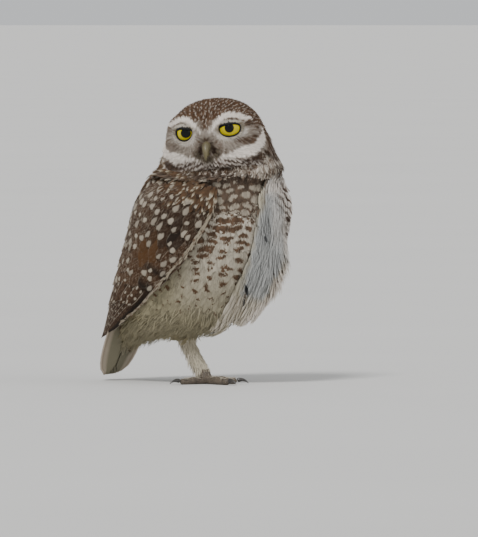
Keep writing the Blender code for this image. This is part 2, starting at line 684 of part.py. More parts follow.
def make_puff(name, puff, tiers, material=None, grow=0.0):
    """The swelling itself, under tiers of long pointed feathers. grow makes all of it larger, as a cutter."""
    rows, columns = 7, 6
    w_line, v_line = np.linspace(0, 1, rows), np.linspace(0, 1, columns)
    for line in (w_line, v_line):
        line[0] -= grow / (30 * MM)
        line[-1] += grow / (30 * MM)
    w_grid, v_grid = np.meshgrid(w_line, v_line, indexing="ij")
    share = puff.share[0] + (puff.share[1] - puff.share[0]) * w_grid
    angle = puff.angle[0] + (puff.angle[1] - puff.angle[0]) * v_grid
    top, _ = puff.at(w_grid, v_grid, grow)
    under, _ = body_point(share, angle, np.full_like(angle, -2 * MM - grow))
    rings = [np.concatenate([top[r], under[r][::-1]]) for r in range(rows)]
    ends = [rings[0].mean(0), rings[-1].mean(0)]
    swelling = new_object(name, [*np.concatenate(rings), *ends], tube_faces(rows, 2 * columns), material)
    vary = np.random.default_rng(FEATHER_SEED)
    plumes = []
    for tier, (root, tip, count, across, half_width, rise) in enumerate(tiers):
        for i in range(count):
            v = across[0] + (across[1] - across[0]) * i / (count - 1)
            s = np.array(PLUME_SHARES)
            tip_w = tip[0] + (tip[1] - tip[0]) * i / (count - 1) + vary.uniform(-0.025, 0.025)
            line, normals = puff.at(root + (tip_w - root) * s, np.full_like(s, v), (-1.6 + rise * s) * MM)
            line[-1] += (line[-1] - line[-2]) * grow / np.linalg.norm(line[-1] - line[-2])
            wide = half_width * MM * vary.uniform(0.94, 1.06)
            plume = (wide, PLUME_THICK, PLUME_TILT, s, POINTED_OUTLINE, grow)
            plumes.append(vane(f"{name}_{tier}_{i}", line, normals, *plume))
    fuse(swelling, plumes)
    swelling.hide_render = grow > 0
    return swelling


def make_leg(torso, material):
    """The feathered shank of the standing leg."""
    top, ankle = np.array(LEG_TOP), np.array(LEG_ANKLE)
    s = np.linspace(0, 1, 9)[:, None]
    line = top + (ankle - top) * s + np.array([0, 1.5 * MM, 0]) * np.sin(s * math.pi)
    leg = round_rod("leg_right", line, np.interp(s[:, 0], *LEG_RADII) * MM, 14, material, round_end=0.3)
    cut_clear(leg, [torso])
    return leg


def toe_line(toe):
    """The centre line of a toe along the floor, its radii with the joints' swellings, and its heading."""
    heading, length, radius = TOES[toe]
    heading = math.radians(heading)
    ahead = np.array([math.sin(heading), -math.cos(heading), 0])
    s = np.linspace(0, 1, 9)
    radii = radius * (1 - 0.26 * s) * (1 + 0.13 * np.cos(s * math.pi * 4)) * MM
    line = np.array(FOOT_PLACE) + ahead * (2 * MM + length * MM * s[:, None])
    line[:, 2] = radii - FLOOR_CUT
    return line, radii, ahead


def claw_line(start, ahead, up, length, bend):
    """The curve of a claw, from the first bend to the second, both in degrees down from straight ahead."""
    s = np.linspace(0, 1, 6)
    angle = np.radians(bend[0] + (bend[1] - bend[0]) * s)[:, None]
    steps = (ahead * np.cos(angle) - up * np.sin(angle)) * length / 5
    return start + np.concatenate([[np.zeros(3)], np.cumsum(steps[:-1], axis=0)]), 1 - 0.92 * s**1.2


def make_foot(leg, skin, horn):
    """The standing foot: its pad, four toes flat on the floor, and a claw on each."""
    pad_line = np.array(FOOT_PLACE) + np.array([(0, 2.6, 8.4), (0, 1.4, 5.2), (0, 0, 1.4)]) * MM
    pad = round_rod("foot_right", pad_line, np.array([4.6, 5.0, 5.2]) * MM, 14, skin, round_end=0.7)
    cut_flat(pad, Vector(), Vector((0, 0, -1)))
    cut_clear(leg, [pad])
    made = [pad, leg]
    for name in TOES:
        line, radii, ahead = toe_line(name)
        toe = round_rod(f"toe_right_{name}", line, radii, 8, skin, round_end=0.7)
        cut_flat(toe, Vector(), Vector((0, 0, -1)))
        cut_clear(toe, made)
        made.append(toe)
        start = line[-1] + ahead * 0.4 * MM + np.array([0, 0, 0.6 * MM])
        nail_line, taper = claw_line(start, ahead, np.array([0, 0, 1.0]), CLAW_LENGTH, (-16, 58))
        nail_line[:, 2] = np.maximum(nail_line[:, 2], taper * radii[-1] * 0.72 + 0.1 * MM)
        nail = round_rod(f"claw_right_{name}", nail_line, taper * radii[-1] * 0.72, 6, horn, round_end=0.3)
        cut_clear(nail, [toe])


def make_drawn_foot(neighbours, clearances, skin, horn):
    """The left foot, clenched among the flank's feathers: three knuckles show, with their claws."""
    middle, normal = body_point(*DRAWN_FOOT)
    down = unit(body_point(DRAWN_FOOT[0] - 0.03, DRAWN_FOOT[1])[0] - middle)
    across = np.cross(normal, down)
    ankle = [middle - down * 5 * MM, middle + down * 1 * MM]
    foot = round_rod("foot_left", ankle, np.array([4.2, 4.4]) * MM, 10, skin, round_end=0.6)
    toes, ends = [], []
    for name, i in (("inner", -1), ("middle", 0), ("outer", 1)):
        s = np.linspace(0, 1, 5)[:, None]
        line = middle + across * i * (3.0 + 0.9 * s) * MM + down * 8 * s * MM
        line = line + normal * (1.6 + 3.2 * np.sin(s * math.pi * 0.9)) * MM
        toes.append(round_rod(f"toe_left_{name}", line, np.linspace(2.3, 1.8, 5) * MM, 7, round_end=0.7))
        ends.append((name, line[-1]))
    fuse(foot, toes)
    cut_clear(foot, neighbours, clearances)
    for name, end in ends:
        line, taper = claw_line(end + down * 1.2 * MM, down, normal, 7 * MM, (-30, 45))
        nail = round_rod(f"claw_left_{name}", line, 1.5 * MM * taper, 6, horn, round_end=0.6)
        cut_clear(nail, [foot, *neighbours], clearances)


def main():
    clear_scene()
    brown = finish("brown_plumage", (0.20, 0.13, 0.08), 0.9)
    pale = finish("pale_plumage", (0.72, 0.68, 0.58), 0.95)
    iris = finish("eye", (0.75, 0.62, 0.05), 0.08)
    horn = finish("beak_horn", (0.42, 0.42, 0.28), 0.4)
    claw_horn = finish("claw_horn", (0.05, 0.045, 0.04), 0.35)
    scale = finish("toe_skin", (0.42, 0.37, 0.31), 0.7)

    torso = make_body("torso", pale, below=COLLAR)
    neck = make_body("neck", brown, above=COLLAR, below=NAPE)
    head = make_head(brown)
    make_eyes(iris)
    make_beak(head, horn)
    thigh = make_puff("leg_left", Puff(*LEFT_LEG_PATCH), LEFT_LEG_TIERS, pale)
    thigh_space = make_puff("leg_left_space", Puff(*LEFT_LEG_PATCH), LEFT_LEG_TIERS, grow=GAP)
    flank = make_puff("flank_left", Puff(*FLANK_PATCH), FLANK_TIERS, pale)
    flank_space = make_puff("flank_left_space", Puff(*FLANK_PATCH), FLANK_TIERS, grow=GAP)
    cut_clear(thigh, [torso])
    cut_clear(flank, [torso, neck], [thigh_space])
    cut_clear(make_wing("wing_right", -1, brown), [torso, neck])
    cut_clear(make_wing("wing_left", 1, brown), [torso, neck], [flank_space, thigh_space])
    tail = make_tail(brown)
    cut_clear(tail, [torso])
    leg = make_leg(torso, pale)
    make_foot(leg, scale, claw_horn)
    make_drawn_foot([torso], [flank_space, thigh_space], scale, claw_horn)
    for space in (flank_space, thigh_space):
        bpy.data.objects.remove(space)
    for thing in bpy.data.objects:
        thing.data.transform(Matrix.Translation(-FOOT_PLACE))


main()
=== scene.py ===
"""Looks for a burrowing owl that stands on one foot: skin, coat, wings, tail, eyes, beak and feet."""

import functools
import math

import bmesh
import bpy
import numpy as np
from mathutils import Matrix, Vector
from mathutils.kdtree import KDTree


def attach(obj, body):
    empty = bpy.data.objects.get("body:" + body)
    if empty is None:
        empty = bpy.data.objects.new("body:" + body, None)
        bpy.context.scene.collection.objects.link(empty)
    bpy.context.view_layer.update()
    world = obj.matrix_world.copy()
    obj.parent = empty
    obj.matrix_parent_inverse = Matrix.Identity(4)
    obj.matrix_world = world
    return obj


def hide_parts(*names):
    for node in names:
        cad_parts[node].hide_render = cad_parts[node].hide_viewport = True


bl_info = {
    "name": "Burrowing owl",
    "version": (1, 0, 0),
    "blender": (4, 5, 0),
    "location": "View3D > Sidebar > Owl",
    "description": "Dresses the solids of a burrowing owl in skin, feathers, eyes, beak and scales",
    "category": "Object",
}

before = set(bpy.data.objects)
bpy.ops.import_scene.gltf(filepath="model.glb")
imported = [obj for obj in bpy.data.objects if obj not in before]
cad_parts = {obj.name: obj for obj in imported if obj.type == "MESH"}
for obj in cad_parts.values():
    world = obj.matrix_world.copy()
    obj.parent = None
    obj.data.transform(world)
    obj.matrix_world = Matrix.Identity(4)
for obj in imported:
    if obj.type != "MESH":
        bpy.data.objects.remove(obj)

MM = 0.001
BODY = "root"
FOOT_PLACE = np.array([4, 4, 0]) * MM  # the body's forms are given from a point this far before the origin
MID_X = 3 * MM
X_WAY, Z_WAY = np.array([1.0, 0, 0]), np.array([0, 0, 1.0])

# Sections of the body from vent to nape, in millimetres: belly point (y, z), back point (y, z), half-width
# and shift.
BODY_SECTIONS = (
    (80, 23, 92, 36, 11, 0),
    (68, 27, 87, 47, 18, 0),
    (50, 31, 82, 55, 26, 0),
    (28, 33, 77, 66, 35, 0),
    (8, 36, 71, 79, 41, 0),
    (-14, 46, 65, 93, 45, 0),
    (-30, 67, 60, 109, 47.5, 0),
    (-41, 92, 56, 124, 49, 0),
    (-46, 118, 50, 138, 49, 0),
    (-45, 139, 44, 150, 48, 1),
    (-43, 152, 39, 159, 48.5, 3.5),
    (-45, 160, 36, 166, 49.5, 5.5),
    (-43, 166.5, 33, 172, 44, 5.8),
    (-38, 172, 29, 178, 38, 5.8),
)
BODY_RADIUS = 46  # millimetres round the body for each radian
VENT_SHARE, RUFF_SHARE = 0.30, 0.78  # the share of the body where the vent ends and the ruff begins
# How pale the breast is, and how wide its bars are, by the height up the breast in millimetres.
BREAST_PALE = ((95, 0.03), (125, 0.20), (150, 0.34), (175, 0.42), (200, 0.45))
BAR_WIDTHS = (
    (76, 0), (90, 0.05), (110, 0.09), (125, 0.18), (140, 0.27), (155, 0.36), (172, 0.46), (184, 0.54),
)
HEAD_CENTRE = np.array([3, -8, 176]) * MM - FOOT_PLACE
HEAD_TURN, HEAD_TILT = math.radians(-60), math.radians(5.5)
HEAD_REACH, COLLAR_HEIGHT = (39, 36, 37), 157.5  # where head feathers end, in millimetres

EYE_ASIDE = {-1: 15.4, 1: 16.6}  # right and left, in millimetres, as all that follows of the head
EYE_FORWARD, EYE_UP, EYE_RADIUS = 21.2, 12.1, 9.2
EYE_OUTWARD = math.radians(10)
EYE_OPENINGS = {-1: (6.0, 5.4), 1: (7.6, 5.2)}
LID_TOPS = {-1: 2.3, 1: 2.7}  # the upper lid's edge over the eye's axis
GAZE = {-1: (2.0, -0.4), 1: (0.0, 0.5)}  # the pupil's middle beside and over the axis
CORNEA_RADIUS, CORNEA_OUT = 6.6, 3.9
LID_TUBE = 0.2  # thickness of the ring from which the lids are formed, as a share of its radius
BEAK_UPPER = (
    (24, 1.2, 4.4), (28.5, 0.9, 4.4), (32, -0.2, 4.0), (34.6, -2.4, 3.2),
    (36.2, -5.2, 2.2), (36.8, -8.0, 1.2), (36.8, -10.2, 0.35),
)
BEAK_LOWER = ((24, -4.8, 3.0), (29.5, -5.1, 2.5), (32.4, -5.8, 1.6), (34.0, -6.8, 0.5))
# Marks of the face's left side: points of a path in the head's frame and the half-width there, in
# millimetres.
BROW = (
    (4.0, -33.9, 10.0, 1.2), (7.2, -32.9, 14.4, 1.7), (11.0, -30.2, 19.0, 2.2), (16.1, -27.2, 21.8, 2.7),
    (22.5, -24.1, 21.4, 2.7), (28.0, -20.6, 19.4, 2.0), (32.0, -15.5, 18.0, 1.0),
)
CHEEK = (
    (3.5, -30.7, -8.6, 0.8), (10, -30.2, -7.8, 1.5), (17, -28.6, -7.2, 2.5), (24, -25.4, -6.0, 3.7),
    (30.3, -21, -4.4, 4.6), (34.6, -15.2, -1.6, 4.8), (36.4, -8.3, 2.6, 4.0), (36.3, -3, 8.0, 1.6),
    (34.8, -3.5, 13.0, 0.4),
)
EAR_UPPER = (
    (29.4, -21.2, 14.6, 1.2), (32.4, -15.6, 15.0, 2.5), (35.0, -11.4, 11.4, 1.9), (35.6, -10.4, 8.0, 0.7),
)
EAR_LOWER = (
    (22.5, -27.3, 3.8, 0.7), (26.5, -24.6, 2.4, 1.9), (30.6, -20.8, 2.6, 2.3), (33.8, -16.0, 4.6, 1.3),
)
LORES = ((3.2, -33.2, 3.5, 0.5), (4.8, -32.4, -1.2, 2.0), (6.6, -31.4, -5.4, 2.0))
TEAR_LINE = ((9.4, -32.0, 8.0, 0.25), (11.6, -31.5, 4.6, 0.35), (15.5, -30.4, 1.6, 0.15))
COLLAR = (
    (12, -28.6, -14.0, 0.6), (22, -24.9, -13.6, 1.2), (29, -20.5, -12.8, 2.0), (34.5, -12, -10.6, 2.4),
    (37.2, -3.5, -7.0, 2.8), (37.4, 4, -1.0, 3.4),
)

# The standing foot's pad from the ankle down: points of its middle line and the radius there.
FOOT_PAD = (
    (0, 2.8, 11.5, 4.0), (0, 2.4, 8.4, 4.4), (0, 1.4, 5.4, 4.8), (0, 0.4, 3.2, 5.0), (0, 0, 1.4, 4.0),
)

# The folded wing's lower edge, outermost line and upper edge, from wrist to tip, in millimetres.
WING_LOWER = (
    (-27, -37, 147), (-34, -36, 126), (-42, -21, 100), (-45, 1, 79),
    (-42, 26, 60), (-34, 54, 46), (-17, 97, 29),
)
WING_MIDDLE = (
    (-36, -24, 152), (-48, -7, 140), (-51, 16, 119), (-47, 34, 97),
    (-39, 54, 75), (-27, 75, 55), (-11, 99, 31),
)
WING_UPPER = (
    (-35, -6, 157), (-31, 22, 155), (-24, 46, 137), (-19, 59, 114),
    (-14, 70, 90), (-9, 83, 66), (-5, 101, 34),
)
LEFT_WING_OUT = (11, 11, 6, 2, 0, 0, 0)
CORE_WALL = 1.6 * MM

TAIL_ROOT = np.array([3, 76, 52]) * MM - FOOT_PLACE
TAIL_TIP = np.array([3, 101, 9]) * MM - FOOT_PLACE
UNDER_TAIL_DEPTH = ((-0.32, 0.1, 0.62), (9.5, 8.0, 6.0))  # along the tail, and how far below its middle

LEG_TOP = np.array([-2, 23, 40]) * MM - FOOT_PLACE
LEG_ANKLE = np.array([0, 2.8, 8]) * MM
# Headings in degrees from the front towards +X, lengths and radii in millimetres.
TOES = {
    "hallux": (152, 16, 2.9),
    "inner": (34, 21, 3.0),
    "middle": (-8, 25, 3.1),
    "outer": (-104, 21, 2.8),
}

# The swellings of the left side: shares of the body, angles in degrees, and height in millimetres.
FLANK_PATCH = ((0.40, 0.745), (13, 86), 14.5)
THIGH_PATCH = ((0.345, 0.465), (8, 46), 7.0)
# The camera's direction, its distance, the height of its view, and the place that it looks at.
VIEW_AZIMUTH, VIEW_ELEVATION = math.radians(-46), math.radians(2)
VIEW_ROWS, ROW_HEIGHT = 537, 0.74 * MM
VIEW_DISTANCE, VIEW_HEIGHT = 6.0, VIEW_ROWS * ROW_HEIGHT
VIEW_ASIDE, VIEW_UP = 24.15 * MM, 85.5 * MM
ACROSS = np.array([math.cos(VIEW_AZIMUTH), math.sin(VIEW_AZIMUTH), 0])
# Where the left flank turns away, how far down its plumes hang, and where its breast side begins: distances
# along ACROSS and heights, in millimetres.
FLANK_EDGE = (
    (33.8, 44), (40.2, 53), (51.4, 63), (57.3, 76), (62.9, 85), (64.3, 95), (63.7, 128), (60.5, 143),
    (57.5, 152), (55, 165),
)
FLANK_HEM = (
    (0, 35), (8.6, 40), (15.3, 47.5), (18, 44.5), (22, 43.0), (25.5, 47.5), (28.4, 48.5), (31, 45),
    (33.7, 43.4), (37, 48), (40.2, 54), (44, 55), (46.5, 58.5), (47.5, 63), (51, 63.5), (52.5, 70),
    (56.5, 73.5), (57.8, 82), (61.5, 83.5), (63.5, 84.5),
)
FLANK_BREAST = ((22, 60), (24.9, 73), (32.3, 101), (36.7, 124), (41.2, 132), (44, 150))
# Painted shadows in the flank's slit and valley, and its dark spots: place, lean, half-width, half-height,
# and how dark.
FLANK_PAINTED_SHADOWS = (
    (29.7, 70.3, -0.12, 1.3, 4.2, 0.95), (44.1, 108, -0.25, 1.0, 2.6, 0.8),
    (42.8, 114.5, -0.25, 0.8, 5.0, 0.4),
)
FLANK_SPOTS = (
    (58.2, 143.6, -0.8, 1.1, 2.0, 0.9), (60.0, 136.9, -0.8, 1.2, 2.0, 0.95),
    (60.4, 122.1, -0.5, 1.3, 2.2, 0.95), (59.8, 111.0, -0.5, 0.9, 1.7, 0.85),
    (56.2, 83.3, 0, 0.7, 1.2, 0.7), (52.6, 76.2, 0, 0.6, 1.1, 0.7), (50.0, 82.0, 0, 0.6, 1.0, 0.5),
)
DRAWN_FOOT = (0.478, math.radians(10), -4.2 * MM)  # share of the body, angle and lift
FINE_SPACING, PLUME_CLUMP = 0.95 * MM, 2.6 * MM
SKIN_NODES = ("torso", "neck", "head", "leg_right")
SWELL = 0.35 * MM  # how far the solids of flesh are swollen before they are fused
ROOT_TRIES = 190000

BAR_PITCH = 9.0  # millimetres between the paired spots along a flight feather

# Colours of small parts.
FACE_GROUND = (0.31, 0.27, 0.22)
UNDER_TAIL = (0.22, 0.20, 0.135)
VANE_BELOW, VANE_BELOW_RIM = (0.235, 0.215, 0.150), (0.62, 0.52, 0.42)
# The colour of the painted shade in the flank's slit and valley.
FLANK_SHADE = (0.020, 0.021, 0.024)
IRIS_INNER, IRIS_RIM, PUPIL = (0.30, 0.22, 0.01), (0.012, 0.010, 0.006), (0.003, 0.003, 0.003)
BEAK_DARK = (0.09, 0.075, 0.055)
CLAW, CLAW_DARK = (0.05, 0.044, 0.038), (0.015, 0.013, 0.012)
SCALE_SEAM = (0.04, 0.032, 0.026)
LID_RIM = ((0.004, 0.004, 0.004), (0.010, 0.009, 0.008))
FLOOR = ((0.60, 0.59, 0.57), (0.64, 0.63, 0.61))
SKY = (0.86, 0.88, 0.90, 1)
FLOOR_SIZE = 250


def distance(name, description, default):
    return bpy.props.FloatProperty(name=name, description=description, default=default, unit="LENGTH")


def colour(name, description, default):
    return bpy.props.FloatVectorProperty(
        name=name, description=description, default=default, size=3, subtype="COLOR"
    )


class OwlSizes(bpy.types.PropertyGroup):
    """Sizes of the coat."""

    skin_grain: distance("Skin grain", "Width of one face of the skin", 0.0014)
    coat_depth: distance("Coat depth", "How far the skin of the body lies under the coat", 0.0030)
    body_spacing: distance("Body spacing", "Distance between the finest tufts of the body", 0.0009)
    head_spacing: distance("Head spacing", "Distance between feathers of the crown", 0.00105)
    seed: bpy.props.IntProperty(name="Seed", description="Changes how the feathers vary", default=11)


class OwlColours(bpy.types.PropertyGroup):
    """Colours of the plumage and the bare parts."""

    cream: colour("Cream", "Belly and legs", (0.275, 0.243, 0.155))
    olive: colour("Olive", "Vent and under the tail", (0.22, 0.185, 0.105))
    white: colour("White", "Brows, cheeks and chin", (0.78, 0.71, 0.64))
    brown: colour("Brown", "Crown, back and wings", (0.060, 0.031, 0.016))
    dark: colour("Dark brown", "Darkest feathers", (0.011, 0.0065, 0.004))
    rust: colour("Rust", "Warm patches of the wing", (0.070, 0.032, 0.011))
    spot: colour("Spot", "Spots of the wing", (0.35, 0.305, 0.24))
    silk: colour("Silk", "Long feathers of the flank", (0.36, 0.38, 0.38))
    iris: colour("Iris", "Iris", (0.62, 0.50, 0.004))
    horn: colour("Horn", "Beak", (0.135, 0.110, 0.045))
    scale: colour("Scale", "Skin of the toes", (0.13, 0.10, 0.07))


# ---- Shader building ----


class Wire:
    """An output of a shader node. Sums and products of wires become Math nodes."""

    def __init__(self, shader, socket):
        self.shader, self.socket = shader, socket

    def maths(self, operation, *values):
        return self.shader.node("ShaderNodeMath", {"operation": operation}, dict(enumerate(values)))

    def __add__(self, other):
        return self.maths("ADD", self, other)

    def __sub__(self, other):
        return self.maths("SUBTRACT", self, other)

    def __mul__(self, other):
        return self.maths("MULTIPLY", self, other)

    def __truediv__(self, other):
        return self.maths("DIVIDE", self, other)

    def __pow__(self, other):
        return self.maths("POWER", self, other)

    def __radd__(self, other):
        return self.maths("ADD", other, self)

    def __rsub__(self, other):
        return self.maths("SUBTRACT", other, self)

    def __rmul__(self, other):
        return self.maths("MULTIPLY", other, self)

    def __rtruediv__(self, other):
        return self.maths("DIVIDE", other, self)

    def __neg__(self):
        return self.maths("MULTIPLY", self, -1.0)

    def __abs__(self):
        return self.maths("ABSOLUTE", self)

    def sine(self):
        return self.maths("SINE", self)

    def rounded(self):
        return self.maths("ROUND", self)

    def most(self, other):
        return self.maths("MAXIMUM", self, other)


class Shader:
    """A material's nodes."""

    def __init__(self, name):
        self.material = bpy.data.materials.new(name)
        self.material.use_nodes = True
        self.tree = self.material.node_tree
        self.principled = self.tree.nodes["Principled BSDF"]

    def node(self, kind, settings=None, sockets=None, output=0):
        """Adds a node: its settings first, then the values or wires of its sockets."""
        made = self.tree.nodes.new(kind)
        for key, value in (settings or {}).items():
            if key == "stops":
                ramp = made.color_ramp
                while len(ramp.elements) < len(value):
                    ramp.elements.new(0.5)
                for element, (place, colour) in zip(ramp.elements, value):
                    element.position = place
                    element.color = (*colour, 1)
            else:
                setattr(made, key, value)
        for key, value in (sockets or {}).items():
            self.feed(made.inputs[key], value)
        return Wire(self, made.outputs[output])

    def feed(self, socket, value):
        if isinstance(value, Wire):
            self.tree.links.new(value.socket, socket)
        elif socket.type == "RGBA" and len(value) == 3:
            socket.default_value = (*value, 1)
        else:
            socket.default_value = value

    def set(self, **values):
        """Feeds the sockets of the Principled shader. An underscore stands for a space."""
        for key, value in values.items():
            self.feed(self.principled.inputs[key.replace("_", " ")], value)

    def mix(self, factor, first, second, blend="MIX"):
        settings = {"data_type": "RGBA", "blend_type": blend}
        return self.node("ShaderNodeMix", settings, {0: factor, 6: first, 7: second}, output=2)

    def shaded(self, ground, shade, roughness, gloss):
        """Sets the surface: a ground colour made lighter or darker, its roughness and how glossy it is."""
        grey = self.node("ShaderNodeCombineColor", None, {0: shade, 1: shade, 2: shade})
        base = self.mix(1.0, ground, grey, "MULTIPLY")
        self.set(Base_Color=base, Roughness=roughness, Specular_IOR_Level=gloss)

    def vector(self, operation, first, second, output=0):
        return self.node("ShaderNodeVectorMath", {"operation": operation}, {0: first, 1: second}, output)

    def place(self):
        """The place on the object."""
        return self.node("ShaderNodeTexCoord", output=3)

    def step(self, value, low, high):
        """0 below low, 1 above high, and smooth between. low may be the larger."""
        settings = {"interpolation_type": "SMOOTHSTEP"}
        return self.node("ShaderNodeMapRange", settings, {0: value, 1: low, 2: high, 3: 0.0, 4: 1.0})

    def attribute(self, name):
        """The three parts of a vector attribute, and the vector itself."""
        made = self.tree.nodes.new("ShaderNodeAttribute")
        made.attribute_name = name
        split = self.tree.nodes.new("ShaderNodeSeparateXYZ")
        self.tree.links.new(made.outputs["Vector"], split.inputs[0])
        return [Wire(self, out) for out in split.outputs] + [Wire(self, made.outputs["Vector"])]

    def noise(self, scale, detail=3.0, vector=None):
        where = vector or self.place()
        return self.node("ShaderNodeTexNoise", None, {"Vector": where, "Scale": scale, "Detail": detail})

    def bump(self, height, distance, strength=1.0):
        sockets = {"Height": height, "Distance": distance, "Strength": strength}
        self.set(Normal=self.node("ShaderNodeBump", None, sockets))


def tone(colour, factor):
    """A colour made lighter or darker."""
    return [c * factor for c in colour]


def plumage_material(name, colours, base):
    """Small feathers. tint holds how brown, white and dark a place is, vane where on its feather it is.

    mark holds the place on the body in columns and rows of marks, and how wide a mark is of its column.
    """
    shader = Shader(name)
    brown, white, dark, _ = shader.attribute("tint")
    _, along, chance, _ = shader.attribute("vane")
    column, row, wide, _ = shader.attribute("mark")
    mottle = shader.noise(240.0, 3.0)
    fine = shader.noise(1100.0, 2.0)
    coarse = shader.noise(75.0, 2.0)
    shifted = row + (coarse - 0.5) * 0.7
    line = shifted.rounded()
    moved = column + (line * 2.4).sine() * 0.5
    nearest = moved.rounded()
    vary = (nearest * 17.3 + line * 7.1).sine()
    aside = moved - nearest + (coarse - 0.5) * 0.45 + (mottle - 0.5) * 0.16
    above = shifted - line + vary * 0.16 + (mottle - 0.5) * 0.22
    uneven = abs(wide) * (0.50 + shader.noise(110.0, 1.0)) * (1.0 + 0.28 * vary)
    far = (aside / uneven) ** 2.0 + (above * 5.5 / (0.7 + 3.2 * uneven)) ** 2.0
    mark = shader.step(far, 1.5, 0.55) * shader.step(abs(wide), 0.03, 0.10)
    spotted = shader.step(wide, 0.0, -0.03)
    ground = shader.mix(shader.step(mottle, 0.35, 0.7), base, tone(base, 0.88))
    ground = shader.mix(white, ground, colours.white)
    warm = shader.mix(shader.step(mottle, 0.3, 0.75), colours.brown, tone(colours.brown, 1.9))
    warm = shader.mix(spotted * 0.38, warm, colours.dark)
    warm = shader.mix(spotted * mark * 0.85, warm, colours.spot)
    bars = mark * (1.0 - spotted) * 0.95
    ground = shader.mix(brown.most(bars.most(spotted * 0.92)), ground, warm)
    ground = shader.mix(dark, ground, colours.dark)
    shader.shaded(ground, 0.84 + 0.18 * chance + 0.14 * (fine - 0.5) + 0.08 * along, 0.85, 0.15)
    shader.bump(fine, 0.0003, 0.35)
    return shader.material


def wing_material(name, colours):
    """Wing and tail vanes. vane is across and from the tip in millimetres, and chance.

    spots is the half-width of the vane, whether bars take the place of one spot, and the size of the marks.
    tint is how warm, pale and dark the feather is; on the wing the darkness holds painted shade too.
    """
    shader = Shader(name)
    across, from_tip, chance, vane = shader.attribute("vane")
    wide, kind, size, _ = shader.attribute("spots")
    warm, pale, dark, _ = shader.attribute("tint")
    aside = abs(across)
    uneven = shader.noise(290.0, 3.0) - 0.5
    fine = shader.noise(1500.0, 2.0)
    streak = shader.noise(1.4, 3.0, shader.vector("MULTIPLY", vane, (1.5, 0.28, 40.0)))
    ground = shader.mix(shader.step(streak, 0.3, 0.7), tone(colours.brown, 0.42), tone(colours.brown, 1.5))
    ground = shader.mix(warm, ground, colours.rust)
    buff = shader.step(streak + 0.25 * uneven, 0.50, 0.66)
    ground = shader.mix(pale * buff, ground, tone(colours.spot, 0.8))
    under = shader.step(warm, -0.2, -0.8)
    out = aside / wide
    line = shader.step(out, 0.56, 0.68) * shader.step(out, 0.84, 0.76) * pale * 0.85
    below = shader.mix(line, VANE_BELOW, colours.brown)
    below = shader.mix(shader.step(out, 0.80, 0.86).most(0.5) * pale, below, VANE_BELOW_RIM)
    # Darker towards the darkest brown, for dark feathers and for painted shade.
    ground = shader.mix(dark * (0.65 + 0.5 * streak), ground, colours.dark)
    ground = shader.mix(under, ground, below)
    rim = shader.step(out + uneven * 0.2, 0.84, 0.98) * (0.26 + 0.40 * kind) * (1.0 - under)
    ground = shader.mix(rim, ground, colours.spot)
    # One pale spot near the tip, or a row of paired spots along a flight feather.
    run = from_tip / BAR_PITCH
    along = (run - run.maths("FLOOR", run) - 0.5) * BAR_PITCH
    barred = shader.step(kind, 0.4, 0.6)
    offset = (from_tip - 3.4) * (1.0 - barred) + along * barred
    lone = (across + (chance - 0.5) * 1.2) / (1.6 + 0.7 * chance)
    paired = (aside / wide - 0.52) / 0.30
    side = lone * (1.0 + 0.12 * offset) * (1.0 - barred) + paired * barred
    reach = size * (3.2 - 0.9 * chance)
    far = ((side + uneven * 1.5) / size) ** 2.0 + ((offset + uneven * 3.6) / reach) ** 2.0
    seen = shader.step(size, 0.05, 0.3)
    spot = shader.step(far, 1.75, 0.45) * seen * (0.75 + 0.25 * chance)
    halo = shader.step(far, 3.0, 1.1) * 0.25 * (1.0 - barred) * seen
    ground = shader.mix(halo, ground, colours.dark)
    ground = shader.mix(spot, ground, shader.mix(fine, colours.spot, tone(colours.spot, 0.8)))
    shader.shaded(ground, 0.86 + 0.22 * chance + 0.14 * (fine - 0.5), 0.78, 0.18)
    barbs = ((from_tip + aside * 1.6) * 9.0).sine()
    shader.bump(barbs * 0.3 + fine + streak, 0.0002, 0.4)
    return shader.material


def silk_material(name, colours):
    """Long loose feathers. tint is how brown, white and cream a place is, mark how much painted shade
    darkens it and how barred.
    """
    shader = Shader(name)
    brown, white, cream, _ = shader.attribute("tint")
    painted_shade, barred, _, _ = shader.attribute("mark")
    _, along, chance, _ = shader.attribute("vane")
    streak = shader.noise(500.0, 2.0)
    cloud = shader.noise(170.0, 2.0) - 0.5
    u = shader.vector("DOT_PRODUCT", shader.place(), tuple(ACROSS / MM), output=1)
    z = shader.vector("DOT_PRODUCT", shader.place(), (0, 0, 1 / MM), output=1)

    def spots(marks, worn):
        found = 0.0 * cloud
        for middle, height, lean, wide, high, depth in marks:
            above = z - height
            far = ((u - middle - lean * above + worn * cloud) / wide) ** 2.0 + (above / high) ** 2.0
            found = found.most(shader.step(far, 1.5, 0.5) * depth)
        return found

    run = (0.77 * u + 0.64 * z + cloud * 6.0) * (2 * math.pi / 3.7)
    bars = shader.step(run.sine() + (streak - 0.5) * 1.2, 0.15, 0.6) * barred
    ground = shader.mix(cream, colours.silk, tone(colours.cream, 1.3))
    ground = shader.mix(white, ground, colours.white)
    ground = shader.mix(brown.most(bars), ground, tone(colours.brown, 1.3))
    ground = shader.mix(spots(FLANK_SPOTS, 3.0), ground, colours.brown)
    # Painted shade: the flank's slit and valley are darkened towards FLANK_SHADE.
    ground = shader.mix(painted_shade.most(spots(FLANK_PAINTED_SHADOWS, 1.5)), ground, FLANK_SHADE)
    shader.shaded(ground, 0.82 + 0.16 * chance + 0.2 * (streak - 0.5) + 0.10 * along, 0.75, 0.25)
    shader.bump(streak, 0.0003, 0.4)
    return shader.material


